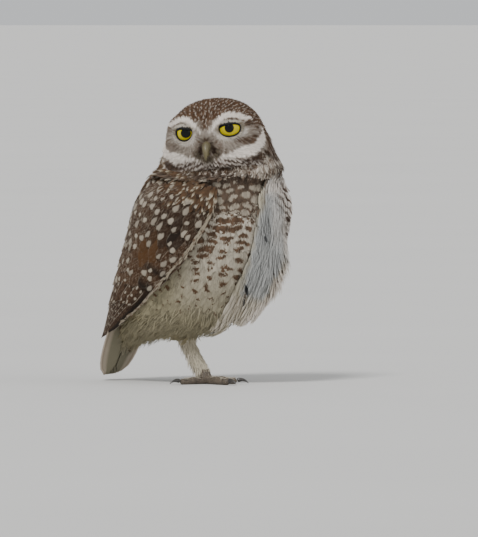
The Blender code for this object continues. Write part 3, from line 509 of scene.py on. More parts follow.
def eye_material(name, colours):
    """A yellow iris round a black pupil. gaze is the distance from the axis in millimetres, and the turn."""
    shader = Shader(name)
    radius, turn, _, _ = shader.attribute("gaze")
    sockets = {"W": turn * 14.0, "Scale": 1.0, "Detail": 3.0}
    rays = shader.node("ShaderNodeTexNoise", {"noise_dimensions": "1D"}, sockets)
    iris = shader.mix(shader.step(rays, 0.3, 0.75), colours.iris, tone(colours.iris, 0.72))
    iris = shader.mix(shader.step(radius, 4.6, 3.4) * 0.35, iris, IRIS_INNER)
    iris = shader.mix(shader.step(radius, 6.9, 7.8), iris, IRIS_RIM)
    iris = shader.mix(shader.step(radius, 3.6, 3.3), iris, PUPIL)
    shader.set(Base_Color=iris, Roughness=0.4, Specular_IOR_Level=0.03)
    shader.set(Coat_Weight=0.35, Coat_Roughness=0.02)
    return shader.material


def horn_material(name, colour, dark, roughness):
    """Beak or claw: horn that darkens along it, with painted shade on its underside. along is 0 at its root
    and 1 at its tip.
    """
    shader = Shader(name)
    along, over, _, _ = shader.attribute("along")
    cloud = shader.noise(300.0, 3.0)
    ground = shader.mix(shader.step(cloud, 0.3, 0.7), colour, tone(colour, 0.7))
    # Painted shade: the lower side of the horn turns dark.
    ground = shader.mix(shader.step(over, 0.1, -0.8) * 0.6, ground, dark)
    ground = shader.mix(shader.step(along, 0.9, 0.2) * 0.35, ground, dark)
    shader.set(Base_Color=ground, Roughness=roughness + 0.15 * cloud, Coat_Weight=0.15)
    shader.bump(shader.noise(900.0, 2.0), 0.0001, 0.35)
    return shader.material


def scale_material(name, colour):
    """Skin of the toes: rounded plates with dark seams."""
    shader = Shader(name)
    sockets = {"Vector": shader.place(), "Scale": 620.0}
    plates = shader.node("ShaderNodeTexVoronoi", {"feature": "DISTANCE_TO_EDGE"}, sockets)
    seam = shader.step(plates, 0.10, 0.0)
    cloud = shader.noise(250.0, 3.0)
    ground = shader.mix(shader.step(cloud, 0.3, 0.75), colour, tone(colour, 0.6))
    shader.set(Base_Color=shader.mix(seam * 0.7, ground, SCALE_SEAM), Roughness=0.6)
    shader.bump(shader.step(plates, 0.0, 0.3), 0.0004, 0.8)
    return shader.material


def rim_material(name):
    shader = Shader(name)
    cloud = shader.noise(700.0, 2.0)
    shader.set(Base_Color=shader.mix(cloud, *LID_RIM), Roughness=0.6, Specular_IOR_Level=0.2)
    shader.bump(cloud, 0.0002, 0.6)
    return shader.material


def floor_material(name):
    shader = Shader(name)
    cloud = shader.noise(3.0, 2.0)
    shader.set(Base_Color=shader.mix(cloud, *FLOOR), Roughness=0.9)
    return shader.material


# ---- Forms shared with the solids ----


def smooth_line(keys, at):
    """Points at given shares of the Catmull-Rom curve through the keys."""
    keys = np.asarray(keys, float)
    place = np.clip(np.asarray(at, float), 0, 1) * (len(keys) - 1)
    first = np.minimum(place.astype(int), len(keys) - 2)
    t = (place - first)[..., None]
    before = keys[np.maximum(first - 1, 0)]
    start, end = keys[first], keys[first + 1]
    after = keys[np.minimum(first + 2, len(keys) - 1)]
    return 0.5 * (
        2 * start
        + (end - before) * t
        + (2 * before - 5 * start + 4 * end - after) * t**2
        + (3 * start - before - 3 * end + after) * t**3
    )


def at_shares(at, shares, vectors):
    """Vectors at new places, between those that are given at shares of a line."""
    return np.column_stack([np.interp(at, shares, vectors[:, i]) for i in range(3)])


def between(ends, share):
    return ends[0] + (ends[1] - ends[0]) * share


def unit(vectors):
    return vectors / np.maximum(np.linalg.norm(vectors, axis=-1, keepdims=True), 1e-9)


def body_point(share, angle, lift=0.0):
    """A point over the body's outer form, its normal, and the way down the body."""

    def at(s, a):
        section = smooth_line(BODY_SECTIONS, s)
        front_y, front_z, back_y, back_z, half_width, aside = np.moveaxis(section, -1, 0)
        x = MID_X + (aside + np.sin(a) * half_width) * MM
        y = (front_y + back_y) / 2 + np.cos(a) * (front_y - back_y) / 2
        z = (front_z + back_z) / 2 + np.cos(a) * (front_z - back_z) / 2
        return np.stack([x, y * MM, z * MM], axis=-1) - FOOT_PLACE

    share, angle = np.broadcast_arrays(np.asarray(share, float), np.asarray(angle, float))
    small = 0.01
    along = at(np.clip(share + small, 0, 1), angle) - at(np.clip(share - small, 0, 1), angle)
    around = at(share, angle + small) - at(share, angle - small)
    normal = unit(np.cross(around, along))
    return at(share, angle) + normal * np.asarray(lift)[..., None], normal, unit(-along)


def head_matrix():
    turned = Matrix.Rotation(HEAD_TURN, 4, "Z") @ Matrix.Rotation(-HEAD_TILT, 4, "Y")
    return Matrix.Translation(HEAD_CENTRE) @ turned


def head_axes():
    return np.array(head_matrix())[:3, :3]


def to_head(points):
    """Points in the head's own frame, in millimetres. The face looks along -Y, and +X is its left."""
    inverse = np.array(head_matrix().inverted())
    return (points @ inverse[:3, :3].T + inverse[:3, 3]) / MM


def from_head(points):
    return np.asarray(points, float) * MM @ head_axes().T + np.array(head_matrix())[:3, 3]


def eye_frame(side):
    """The eye's place in the head's frame, in millimetres. Its own -Y looks out."""
    place = Matrix.Translation((side * EYE_ASIDE[side], -EYE_FORWARD, EYE_UP))
    return np.array(place @ Matrix.Rotation(side * EYE_OUTWARD, 4, "Z"))


def from_eye(points, side):
    turned = eye_frame(side)
    return from_head(np.asarray(points, float) @ turned[:3, :3].T + turned[:3, 3])


def eye_offset(points, side):
    """How far head points lie outside an eye's opening, in millimetres, seen along the eye's axis."""
    local = (points - eye_frame(side)[:3, 3]) @ eye_frame(side)[:3, :3]
    half_width, half_height = EYE_OPENINGS[side]
    ring = np.sqrt((local[:, 0] / half_width) ** 2 + (local[:, 2] / half_height) ** 2)
    offset = (ring - 1) * (half_width + half_height) / 2
    return np.where(local[:, 1] < 0, offset, 50.0)


def eyes_away(points):
    """How far head points lie outside the opening of the nearer eye, in millimetres."""
    return np.minimum(eye_offset(points, -1), eye_offset(points, 1))


def band(points, path, blur, edge):
    """1 within a path's half-width and 0 outside its soft edge, on both sides of the head."""
    found = np.full(len(points), 1e9)
    for x, y, z, width in smooth_line(path, np.linspace(0, 1, 7 * len(path))):
        for side in (1, -1):
            away = np.sqrt(((points - (side * x, y, z)) ** 2).sum(axis=1)) - width
            found = np.minimum(found, away)
    return 1 - soft(found + blur, -edge / 2, edge)


def soft(value, low, high):
    """0 below low, 1 above high, smooth between, for low > high the other way round."""
    t = np.clip((value - low) / (high - low), 0, 1)
    return t * t * (3 - 2 * t)


def most(*values):
    """The largest value at each place."""
    return functools.reduce(np.maximum, values)


def bell(value, width):
    """1 at 0, and less than half beyond the width on both sides."""
    return np.exp(-((value / width) ** 2))


def wobble(u, v, pitch, seed):
    """Smooth random numbers between about -1 and 1 over a plane."""
    random = np.random.default_rng(seed)
    total = np.zeros(np.broadcast(u, v).shape)
    for _ in range(6):
        turn, phase = random.uniform(0, 2 * math.pi, 2)
        size = random.uniform(0.6, 1.6) * 2 * math.pi / pitch
        total = total + np.sin((u * math.cos(turn) + v * math.sin(turn)) * size + phase)
    return total / 2.6


# ---- Markings ----


def head_tint(points):
    """How brown, white and dark the head is at points of its own frame."""
    x, y, z = points.T
    blur = wobble(x * 1.3, z * 1.3 + y * 0.7, 5.0, 3) * 0.7
    side = np.where(x < 0, -1, 1)
    wide, over = np.abs(x), z - EYE_UP
    beside = wide - np.where(x < 0, EYE_ASIDE[-1], EYE_ASIDE[1])
    streak = wobble(np.arctan2(over, beside) * 16, side * 5 + np.hypot(over, beside) * 0.18, 3.0, 13)
    brow = band(points, BROW, blur * 0.6, 1.4)
    cheek = band(points, CHEEK, blur * 0.7 + 0.4 * streak, 1.5)
    upper_ear = band(points, EAR_UPPER, 0.5 * blur + 0.8 * streak - 0.4, 1.7)
    lower_ear = band(points, EAR_LOWER, 0.5 * blur + 0.7 * streak - 0.4, 1.5)
    ear = np.maximum(upper_ear, lower_ear) * np.where(x < 0, 0.60, 1)
    lores = band(points, LORES, 0.4 * streak, 1.8)
    tear = band(points, TEAR_LINE, 0.0, 0.8)
    edge = band(points, COLLAR, blur * 0.8, 1.6)
    crown = soft(z + 0.25 * (y + 30) + blur * 0.5, 17.0, 20.0) * (1 - brow)
    crown = np.maximum(crown, soft(y, -8, 1) * (1 - cheek))
    crown = np.maximum(crown, bell(x, 5.0) * soft(z, 10.0, 14.0) * (1 - brow))
    eyes = eyes_away(points)
    over_eye = soft(eyes, 8.0, 5.5) * soft(over, 2.6, 4.4) * soft(over, 12, 9) * (wide > 6)
    under = bell(eyes - 3.0, 2.2) * soft(z, 15, 9)
    nostril = bell(x, 4.0) * bell(z - 5.0, 2.0) * (y < -30)
    below = soft(z - 0.10 * wide, -8.8, -11.2) * soft(y, 2, -10) * (1 - cheek)
    between = bell(x, 6.5) * soft(z, 3, 6) * soft(z, 15.5, 12) * (y < -24)
    line = soft(0.5 + 0.5 * np.sin((z + 0.34 * wide + blur) * 2 * math.pi / 3.4), 0.30, 0.70)
    collar = soft(z + 0.05 * wide + blur * 0.7, -14.0, -16.0) * soft(y, 8, -4)
    base = 0.38 + 0.26 * streak + 0.12 * soft(wide, 13, 5)
    brown = np.clip(base, 0, 1) * (1 - 0.80 * under) * (1 - 0.25 * between)
    brown = brown * (1 - brow) * (1 - cheek) * (1 - over_eye)
    brown = most(
        brown, crown * 0.98, ear * (0.92 - 0.25 * soft(streak, 0.2, 0.9)) * (1 - brow), lores * 0.98,
        tear * 0.75, nostril * 0.95,
    )
    brown = most(brown * (1 - below), below * (0.25 + 0.60 * line), collar * 0.95, edge * 0.95)
    white = np.clip(most(0.84 * brow, cheek * (1 - ear), 0.72 * under, 0.24 + 0.12 * between), 0, 1)
    white = most(white * (1 - 0.8 * lores), below * 0.8, 0.62 * over_eye) * (1 - collar)
    dark = most(
        0.75 * (1 - soft(eyes, 0.3, 1.0)) * (1 - over_eye), 0.80 * lores,
        0.40 * ear * soft(streak, 0.3, -0.5), 0.70 * collar, 0.10 + 0.22 * crown * soft(blur, 0.1, -0.5),
        0.42 * below * line, 0.55 * edge, 0.6 * nostril,
    )
    dark = dark * (1 - np.maximum(brow, cheek) * (1 - lores) * (1 - edge))
    return np.clip(np.column_stack([brown, white, dark]), 0, 1), crown


def body_height(share):
    """The way up the breast from the vent to a share of the body, in millimetres."""
    front = np.array(BODY_SECTIONS, float)[:, :2]
    rise = np.concatenate([[0], np.cumsum(np.linalg.norm(np.diff(front, axis=0), axis=1))])
    return np.interp(share, np.linspace(0, 1, len(rise)), rise)


def body_tint(share, angle):
    """How brown, white and dark the body is. share runs up from the vent, angle round from the breast."""
    u, v = angle * BODY_RADIUS, body_height(share)
    degrees = np.degrees(angle)
    ruff = soft(v, 205.5, 211)
    streak = soft(wobble(u * 2.6, v * 0.8, 6.0, 12), 0.0, 0.45)
    front = soft(np.abs(degrees + 25), 95, 70)
    throat = throat_at(u, v, degrees)
    run = 0.9 * v + 0.45 * u + 3 * wobble(u, v, 9.0, 15)
    lines = soft(np.sin(run * 2 * math.pi / 5.2), -0.1, 0.6)
    brown = ruff * (0.95 - 0.75 * streak) * (1 - throat) + throat * (0.20 + 0.70 * lines)
    pale = np.interp(v, *zip(*BREAST_PALE)) * soft(degrees, -78, -45)
    white = np.maximum(ruff * np.maximum(streak * 0.66, throat * 0.50), pale * front)
    back = np.maximum(soft(degrees, -88, -104), soft(degrees, 88, 104)) * soft(share, -0.03, 0.0)
    brown = np.maximum(brown, 0.9 * back * (1 - ruff))
    dark = ruff * (1 - streak) * 0.50 * front * (1 - throat)
    return np.clip(np.stack([brown, white, dark], axis=-1), 0, 1)


def throat_at(u, v, degrees):
    """Where the pale streaked throat is."""
    return soft(degrees + wobble(u, v, 12.0, 14) * 5, -18, -4) * soft(degrees, 30, 16) * soft(v, 206, 213)


def body_mark(share, angle):
    """The place of marks over the body: columns, rows, and how wide a mark is of its column.

    A width below 0 stands for pale marks on a brown ground.
    """
    u, v = angle * BODY_RADIUS, body_height(share)
    degrees = np.degrees(angle)
    level = v + 14 * soft(np.abs(degrees + 10), 22, 70) + wobble(u, v, 30.0, 6) * 3
    wide = np.interp(level, *zip(*BAR_WIDTHS))
    front = soft(degrees - 16 * soft(v, 150, 190), 20, 9) * soft(degrees, -112, -80)
    back = np.maximum(soft(degrees, -84, -100), soft(degrees, 84, 100)) * soft(share, 0.14, 0.24)
    upper = soft(level + 5 * wobble(u, v, 16.0, 7), 182, 188) * front
    wide = np.where(upper > 0.5, -0.40 * soft(v, 214, 207), wide * front)
    wide = np.where(back > 0.3, -0.22 * back * soft(v, 214, 208), wide)
    wide = wide * (1 - throat_at(u, v, degrees))
    warped = u + wobble(u, v, 34.0, 8) * 2.2
    pitch = np.where(wide < 0, 9.5, 12)
    return np.stack([warped / pitch, (v + wobble(u, v, 40.0, 9) * 2.4) / 6.0, wide], axis=-1)


# ---- Meshes from arrays ----


def places(shape):
    return np.array([v.co[:] for v in shape.verts])


def put(shape, points):
    """Moves the vertices to their points and turns the faces outwards."""
    for v, p in zip(shape.verts, points):
        v.co = p
    bmesh.ops.recalc_face_normals(shape, faces=shape.faces)


def as_arrays(shape):
    """The points and triangles of a shape, which is freed."""
    shape.verts.index_update()
    points = places(shape)
    faces = np.array([[v.index for v in f.verts] for f in shape.faces])
    shape.free()
    return points, faces


def blade(sides, outline, depth, camber):
    """A feather's form: a closed spindle that is across in x, along in y, and flat in z."""
    shape = bmesh.new()
    bmesh.ops.create_cone(shape, cap_ends=True, segments=sides, radius1=1, radius2=1, depth=1)
    for cut in outline[0][1:-1]:
        parts = [*shape.verts, *shape.edges, *shape.faces]
        bmesh.ops.bisect_plane(shape, geom=parts, plane_co=(0, 0, cut - 0.5), plane_no=(0, 0, 1))
    tip = [v for v in shape.verts if v.co.z > 0.499]
    bmesh.ops.pointmerge(shape, verts=tip, merge_co=(0, 0, 0.5))
    bmesh.ops.triangulate(shape, faces=shape.faces)
    x, flat, along = (places(shape) + (0, 0, 0.5)).T
    x = x * np.interp(along, *outline)
    put(shape, np.column_stack([x, along, flat * depth * (1 - 0.7 * along) - camber * x * x]))
    return as_arrays(shape)


def flat_grid(across, along, size):
    shape = bmesh.new()
    bmesh.ops.create_grid(shape, x_segments=across, y_segments=along, size=size)
    return shape


def globe(sides, rings):
    shape = bmesh.new()
    bmesh.ops.create_uvsphere(shape, u_segments=sides, v_segments=rings, radius=1)
    return shape


def sheet_blade(across, along):
    """A vane's form: a closed plate of few faces across and many along. x is from -1 to 1, y from 0 to 1."""
    shape = flat_grid(across, along, 1)
    for v in shape.verts:
        v.co.y = (v.co.y + 1) / 2
    bmesh.ops.solidify(shape, geom=shape.faces[:], thickness=1.0)
    for v in shape.verts:
        v.co.z = 1 if v.co.z > -0.5 else -1
    bmesh.ops.triangulate(shape, faces=shape.faces)
    bmesh.ops.recalc_face_normals(shape, faces=shape.faces)
    return as_arrays(shape)


def write_vectors(mesh, attributes):
    """Stores vectors on the mesh's points, each given once for all or for every point."""
    for key, values in attributes.items():
        values = np.asarray(values, np.float32).reshape(-1, 3)
        made = mesh.attributes.new(key, "FLOAT_VECTOR", "POINT")
        made.data.foreach_set("vector", np.broadcast_to(values, (len(mesh.vertices), 3)).ravel())


def read_vectors(items, key, kind=np.float32):
    """The three numbers of every item of a mesh's list."""
    found = np.empty(len(items) * 3, kind)
    items.foreach_get(key, found)
    return found.reshape(-1, 3)


def smooth_faces(mesh):
    mesh.polygons.foreach_set("use_smooth", np.ones(len(mesh.polygons), bool))


def add_object(name, data):
    """A new object of the scene."""
    thing = bpy.data.objects.new(name, data)
    bpy.context.scene.collection.objects.link(thing)
    return thing


def to_mesh(name, shape):
    """A mesh made from a shape, which is freed."""
    mesh = bpy.data.meshes.new(name)
    shape.to_mesh(mesh)
    shape.free()
    return mesh


def shape_piece(name, shape, material, slot, replaces=(), smooth=True, **attributes):
    """A piece made from a shape."""
    mesh = to_mesh(name, shape)
    if smooth:
        smooth_faces(mesh)
    write_vectors(mesh, attributes)
    mesh.materials.append(material)
    return register_piece(add_object(name, mesh), replaces)


def mesh_piece(name, points, faces, material, slot, replaces, uv, **attributes):
    """A piece made from arrays of many like closed forms: points (n, k, 3) and the faces of one form."""
    n, k = points.shape[:2]
    every = (faces[None] + (np.arange(n) * k)[:, None, None]).reshape(-1, 3)
    mesh = bpy.data.meshes.new(name)
    mesh.vertices.add(n * k)
    mesh.vertices.foreach_set("co", points.astype(np.float32).ravel())
    mesh.loops.add(len(every) * 3)
    mesh.loops.foreach_set("vertex_index", every.astype(np.int32).ravel())
    mesh.polygons.add(len(every))
    mesh.polygons.foreach_set("loop_start", np.arange(0, len(every) * 3, 3, dtype=np.int32))
    mesh.update(calc_edges=True)
    smooth_faces(mesh)
    layer = mesh.uv_layers.new(name="OFBake")
    layer.data.foreach_set("uv", uv.reshape(-1, 2)[every.ravel()].astype(np.float32).ravel())
    write_vectors(mesh, attributes)
    mesh.set_sharp_from_angle(angle=math.radians(55))
    mesh.materials.append(material)
    return register_piece(add_object(name, mesh), replaces)


def register_piece(thing, replaces=()):
    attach(thing, BODY)
    if replaces:
        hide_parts(*replaces)
    return thing


def patch_uv(at, form, size=0.003):
    """A small patch for each tuft at its root's place on the skin's unwrap."""
    local = form[:, :2] * (0.5, 1.0) * size
    return np.clip(at[:, None] + local[None], 0.001, 0.999)


def tree_of(points):
    """A tree that finds points by their place, numbered in their order."""
    tree = KDTree(len(points))
    for i, p in enumerate(points):
        tree.insert(p, i)
    tree.balance()
    return tree


def clumps(place, size):
    """The way from each place to the middle of its clump, and the number of that clump."""
    middles = place[thin_out(place, size)]
    tree = tree_of(middles)
    which = np.array([tree.find(p)[1] for p in place])
    return middles[which] - place, which


def coat(name, roots, looks_at, form, length, half_width, rise, curl, slot, material, random,
         replaces=(), twist=0.15, clump=0.0):
    """Lays one tuft at each root along the flow of the coat. Tips draw together in clumps of that size."""
    points, faces = form
    normal = roots["normal"]
    n = len(normal)
    flow = unit(roots["flow"] - normal * (roots["flow"] * normal).sum(1, keepdims=True))
    side = np.cross(flow, normal)
    turn = random.normal(0, twist, n)[:, None]
    ahead = flow * np.cos(turn) + side * np.sin(turn)
    length = np.broadcast_to(length, n) * random.uniform(0.85, 1.15, n)
    if clump:
        drawn, which = clumps(roots["place"], clump)
        rise = rise * random.uniform(0.5, 1.6, n)[which]
        drawn = drawn - normal * (drawn * normal).sum(1, keepdims=True)
        ahead = unit(ahead * length[:, None] + drawn * 0.75)
    across = np.cross(ahead, normal)
    half_width = np.broadcast_to(half_width, n) * random.uniform(0.88, 1.12, n)
    rise = np.broadcast_to(rise, n) * random.uniform(0.75, 1.25, n)
    x, y, z = points.T
    up = length[:, None] * (rise[:, None] * y - curl * y * y) + half_width[:, None] * z
    made = (
        roots["place"][:, None]
        + ahead[:, None] * (length[:, None] * y)[..., None]
        + across[:, None] * (half_width[:, None] * x)[..., None]
        + normal[:, None] * up[..., None]
    )
    vane = np.stack(np.broadcast_arrays(x[None], y[None], random.random(n)[:, None]), axis=-1)
    uv = patch_uv(roots["unwrap"], points)
    return mesh_piece(name, made, faces, material, slot, replaces, uv, vane=vane, **looks_at(made, roots, y))


# ---- The skin and where feathers root in it ----


@functools.cache
def near_map():
    """A tree of places over the body, with their share, angle and the way down."""
    round_body = np.radians(np.linspace(-180, 180, 145))
    share, angle = np.meshgrid(np.linspace(0, 1, 121), round_body, indexing="ij")
    place, _, down = body_point(share, angle)
    return tree_of(place.reshape(-1, 3)), share.ravel(), angle.ravel(), down.reshape(-1, 3)


def body_place(points):
    """share, angle and the way down the body at points, from the nearest places of its outer form."""
    tree, share, angle, down = near_map()
    nearest = [tree.find(p)[1] for p in points]
    return share[nearest], angle[nearest], down[nearest]


def region_of(points):
    """Which part of the bird each point of the skin belongs to: head, leg or body."""
    local = to_head(points)
    height = points[:, 2] / MM
    reach = np.linalg.norm(local / HEAD_REACH, axis=1)
    head = (reach < np.where(local[:, 2] > 8, 1.12, 1.04)) & (height > COLLAR_HEIGHT)
    head &= local[:, 2] > np.where(local[:, 1] < -8, -15.5, -6.0)
    leg = (height < 34) & (points[:, 1] < 0.026)
    return np.where(head, "head", np.where(leg, "leg", "body"))


def coat_depth(points, sizes):
    """How far the skin lies under the outer form of the solids, in metres."""
    region = region_of(points)
    local = to_head(points)
    face = 0.55 + 0.7 * soft(eyes_away(local), 0.5, 5) * soft(local[:, 1], 0, -24)
    height = points[:, 2] / MM
    leg = np.interp(height, (5, 12, 30), (0.3, 1.0, 1.7))
    body = sizes.coat_depth / MM * (0.75 + 0.25 * soft(height, 158, 150))
    return np.select([region == "head", region == "leg"], [face, leg], body) * MM


def add_flesh(whole, shape):
    """Adds a closed shape to the whole and frees it."""
    part = to_mesh("flesh", shape)
    whole.from_mesh(part)
    bpy.data.meshes.remove(part)


def fill_nape(whole):
    """Adds the flesh that joins the back and sides of the head to the collar, as the hull of both."""
    head, collar = (np.array([v.co[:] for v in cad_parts[n].data.vertices]) for n in ("head", "neck"))
    local = to_head(head)
    head = head[(local[:, 1] > -9) & (local[:, 2] < 14)]
    collar = collar[to_head(collar)[:, 1] > -16]
    high = collar[collar[:, 2] > 0.150]
    shape = bmesh.new()
    for p in np.concatenate([head, collar, high + ACROSS * 4.5 * MM]):
        shape.verts.new(p)
    made = bmesh.ops.convex_hull(shape, input=shape.verts)
    loose = [v for v in {*made["geom_interior"], *made["geom_unused"]} if isinstance(v, bmesh.types.BMVert)]
    bmesh.ops.delete(shape, geom=loose, context="VERTS")
    bmesh.ops.recalc_face_normals(shape, faces=shape.faces)
    add_flesh(whole, shape)


def fuse_flesh(sizes):
    """One closed object from the solids of flesh, each a little swollen."""
    whole = bmesh.new()
    for node in SKIN_NODES:
        shape = bmesh.new()
        shape.from_mesh(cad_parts[node].data)
        bmesh.ops.remove_doubles(shape, verts=shape.verts, dist=1e-6)
        bmesh.ops.recalc_face_normals(shape, faces=shape.faces)
        shape.normal_update()
        for v in shape.verts:
            v.co += v.normal * SWELL
        add_flesh(whole, shape)
    fill_nape(whole)
    thing = add_object("skin", to_mesh("skin_rough", whole))
    remesh = thing.modifiers.new("fuse", "REMESH")
    remesh.mode = "VOXEL"
    remesh.voxel_size = sizes.skin_grain
    bpy.context.view_layer.update()
    mesh = bpy.data.meshes.new_from_object(thing.evaluated_get(bpy.context.evaluated_depsgraph_get()))
    thing.modifiers.clear()
    thing.data = mesh
    return thing


def smooth_once(shape):
    bmesh.ops.smooth_vert(
        shape, verts=shape.verts, factor=0.5, use_axis_x=True, use_axis_y=True, use_axis_z=True
    )


def make_skin(sizes, colours):
    """One closed skin from the solids of flesh, smoothed and drawn in by the coat's depth."""
    thing = fuse_flesh(sizes)
    mesh = thing.data
    shape = bmesh.new()
    shape.from_mesh(mesh)
    for _ in range(6):
        smooth_once(shape)
    shape.normal_update()
    points = places(shape)
    normals = np.array([v.normal[:] for v in shape.verts])
    points = points - normals * (coat_depth(points, sizes) + SWELL)[:, None]
    for v, p in zip(shape.verts, points):
        v.co = p
    smooth_once(shape)
    bmesh.ops.recalc_face_normals(shape, faces=shape.faces)
    shape.to_mesh(mesh)
    shape.free()
    tint, mark = skin_looks(read_vectors(mesh.vertices, "co").astype(float))
    write_vectors(mesh, {"tint": tint, "mark": mark, "vane": (0, 0.2, 0.3)})
    mesh.materials.append(plumage_material("skin under the coat", colours, colours.cream))
    smooth_faces(mesh)
    return register_piece(thing, SKIN_NODES)


def skin_looks(points):
    """The coat's markings on the skin beneath it."""
    region = region_of(points)
    share, angle, _ = body_place(points)
    tint, mark = body_tint(share, angle), body_mark(share, angle)
    head = region == "head"
    tint[head] = head_tint(to_head(points[head]))[0]
    tint[region == "leg"] = (0.0, 0.25, 0.0)
    mark[region != "body"] = 0
    return tint, mark


def root_candidates(random, count):
    """Evenly strewn points of the skin with their normals."""
    mesh = bpy.data.objects["skin"].data
    mesh.calc_loop_triangles()
    points = read_vectors(mesh.vertices, "co").astype(float)
    normals = read_vectors(mesh.vertices, "normal").astype(float)
    corners = read_vectors(mesh.loop_triangles, "vertices", np.int32)
    a, b, c = (points[corners[:, i]] for i in range(3))
    area = np.linalg.norm(np.cross(b - a, c - a), axis=1)
    chosen = corners[random.choice(len(corners), count, p=area / area.sum())]
    s, t = random.random((2, count))
    flip = s + t > 1
    s, t = np.where(flip, 1 - s, s), np.where(flip, 1 - t, t)
    weights = np.column_stack([1 - s - t, s, t])[..., None]
    return (points[chosen] * weights).sum(1), unit((normals[chosen] * weights).sum(1))


def thin_out(place, spacing):
    """Keeps points that are at least their spacing apart. The first ones win."""
    tree = tree_of(place)
    alive = np.ones(len(place), bool)
    spacing = np.broadcast_to(spacing, len(place))
    for i in range(len(place)):
        if alive[i]:
            for _, j, _ in tree.find_range(place[i], spacing[i]):
                if j > i:
                    alive[j] = False
    return alive


def head_flow(local):
    """The way feathers lie on the head, in its frame: away from the beak, and outwards round the eyes."""
    flow = unit(local - np.array([0, -33, 3.0]))
    for side in (-1, 1):
        eye = np.array([side * EYE_ASIDE[side], -EYE_FORWARD - 8, EYE_UP])
        away = local - eye
        near = np.exp(-((np.linalg.norm(away, axis=1) / 13) ** 2))[:, None]
        flow = flow * (1 - near) + unit(away) * near
    return unit(flow)


def in_socket(local, normal):
    """Whether points of the skin lie on the wall of an eye's socket."""
    turned = normal @ head_axes()
    found = np.zeros(len(local), bool)
    for side in (-1, 1):
        inward = eye_frame(side)[:3, 3] - local
        found |= (np.linalg.norm(inward, axis=1) < EYE_RADIUS + 3.6) & ((inward * turned).sum(axis=1) > 0)
    return found


def gather_roots(sizes, random):
    """Roots of all tufts of the skin, each with its region, flow and place on the unwrap."""
    place, normal = root_candidates(random, ROOT_TRIES)
    region = region_of(place)
    local = to_head(place)
    spacing = np.full(len(place), sizes.body_spacing)
    spacing[region == "leg"] = FINE_SPACING
    face = soft(local[:, 1], -6, -20)
    head = region == "head"
    close = (1 - 0.25 * face) * (0.75 + 0.25 * soft(eyes_away(local), 1, 7))
    spacing[head] = (sizes.head_spacing * close)[head]
    keep = thin_out(place, spacing) & ~in_socket(local, normal)
    place, normal, region = place[keep], normal[keep], region[keep]
    share, angle, down = body_place(place)
    local = to_head(place)
    flow = down.copy()
    head = region == "head"
    nape = (soft(local[:, 2], 16, -4) * soft(local[:, 1], -16, 2))[:, None]
    flow[head] = unit((head_flow(local) @ head_axes().T) * (1 - nape) + down * nape)[head]
    leg = region == "leg"
    flow[leg] = unit(LEG_ANKLE - LEG_TOP) + normal[leg] * 0.2 + np.array([0, 0.35, 0])
    unwrap = np.column_stack([angle / (2 * math.pi) + 0.5, share])
    polar = np.arccos(np.clip(unit(local)[:, 2], -1, 1)) / math.pi
    around = np.arctan2(local[:, 0], -local[:, 1]) / (2 * math.pi) + 0.5
    unwrap[head] = np.column_stack([around, polar])[head]
    aim = clumps(place, 2.5 * MM)[0] / MM
    ahead = (aim * unit(flow)).sum(axis=1)
    speck = np.sqrt(np.maximum((aim**2).sum(axis=1) - 0.75 * ahead**2, 0))
    return {
        "place": place, "normal": normal, "region": region, "share": share, "angle": angle,
        "local": local, "flow": flow, "unwrap": unwrap * 0.94 + 0.03, "speck": speck,
    }


def thinned(roots, spacing):
    """The roots that keep a wider spacing."""
    return pick(roots, thin_out(roots["place"], spacing))


def roots_at(place, normal, flow, unwrap, spacing):
    """Roots of a coat that isn't on the skin, from places that are thinned to a spacing."""
    unwrap = np.column_stack(unwrap)
    flow = np.broadcast_to(flow, place.shape)
    return thinned({"place": place, "normal": normal, "flow": flow, "unwrap": unwrap}, spacing)


def pick(roots, mask):
    return {key: values[mask] for key, values in roots.items()}


def head_looks(made, roots, y):
    """Tint at every point of the head's tufts, with pale streaks on the crown."""
    n, k = made.shape[:2]
    reach = 0.5 * (made + roots["place"][:, None])
    tint, crown = head_tint(to_head(reach.reshape(-1, 3)))
    tint, crown = tint.reshape(n, k, 3), crown.reshape(n, k)
    if "speck" in roots:
        chance = np.random.default_rng(5).uniform(0.6, 1.3, n)
        streak = soft(roots["speck"] * chance, 0.85, 0.40)[:, None] * soft(y, 0.0, 0.4)[None] * crown
        tint[..., 0] *= 1 - 0.52 * streak
        tint[..., 1] = np.maximum(tint[..., 1] * (1 - crown), 0.30 * streak)
        tint[..., 2] *= 1 - streak
    return {"tint": tint, "mark": (0, 0, 0)}


def head_length(roots):
    """Length of the head's feathers: shortest at the eyes and longest at the nape."""
    local = roots["local"]
    back = soft(local[:, 1], -22, 8)
    nape = soft(local[:, 2], 6, -5) * soft(local[:, 1], -12, 0)
    return (1.5 + 2.0 * soft(eyes_away(local), 0.8, 8) * (1 - back) + 3.8 * back + 2.5 * nape) * MM


def body_looks(made, roots, y):
    """Tint and marks at every point of the body's tufts, from their roots and how far they reach."""
    reach = made - roots["place"][:, None]
    flow = unit(roots["flow"])
    down = (reach * flow[:, None]).sum(-1) / MM
    aside = (reach * np.cross(roots["normal"], flow)[:, None]).sum(-1) / MM
    shares = np.linspace(0, 1, 400)
    share = np.interp(body_height(roots["share"])[:, None] - down, body_height(shares), shares)
    angle = roots["angle"][:, None] + aside / BODY_RADIUS
    return {"tint": body_tint(share, angle), "mark": body_mark(share, angle)}


def plain_looks(white, brown=0.0, dark=0.0):
    """One tint for a whole piece."""
    return lambda made, roots, y: {"tint": (brown, white, dark), "mark": (0, 0, 0)}


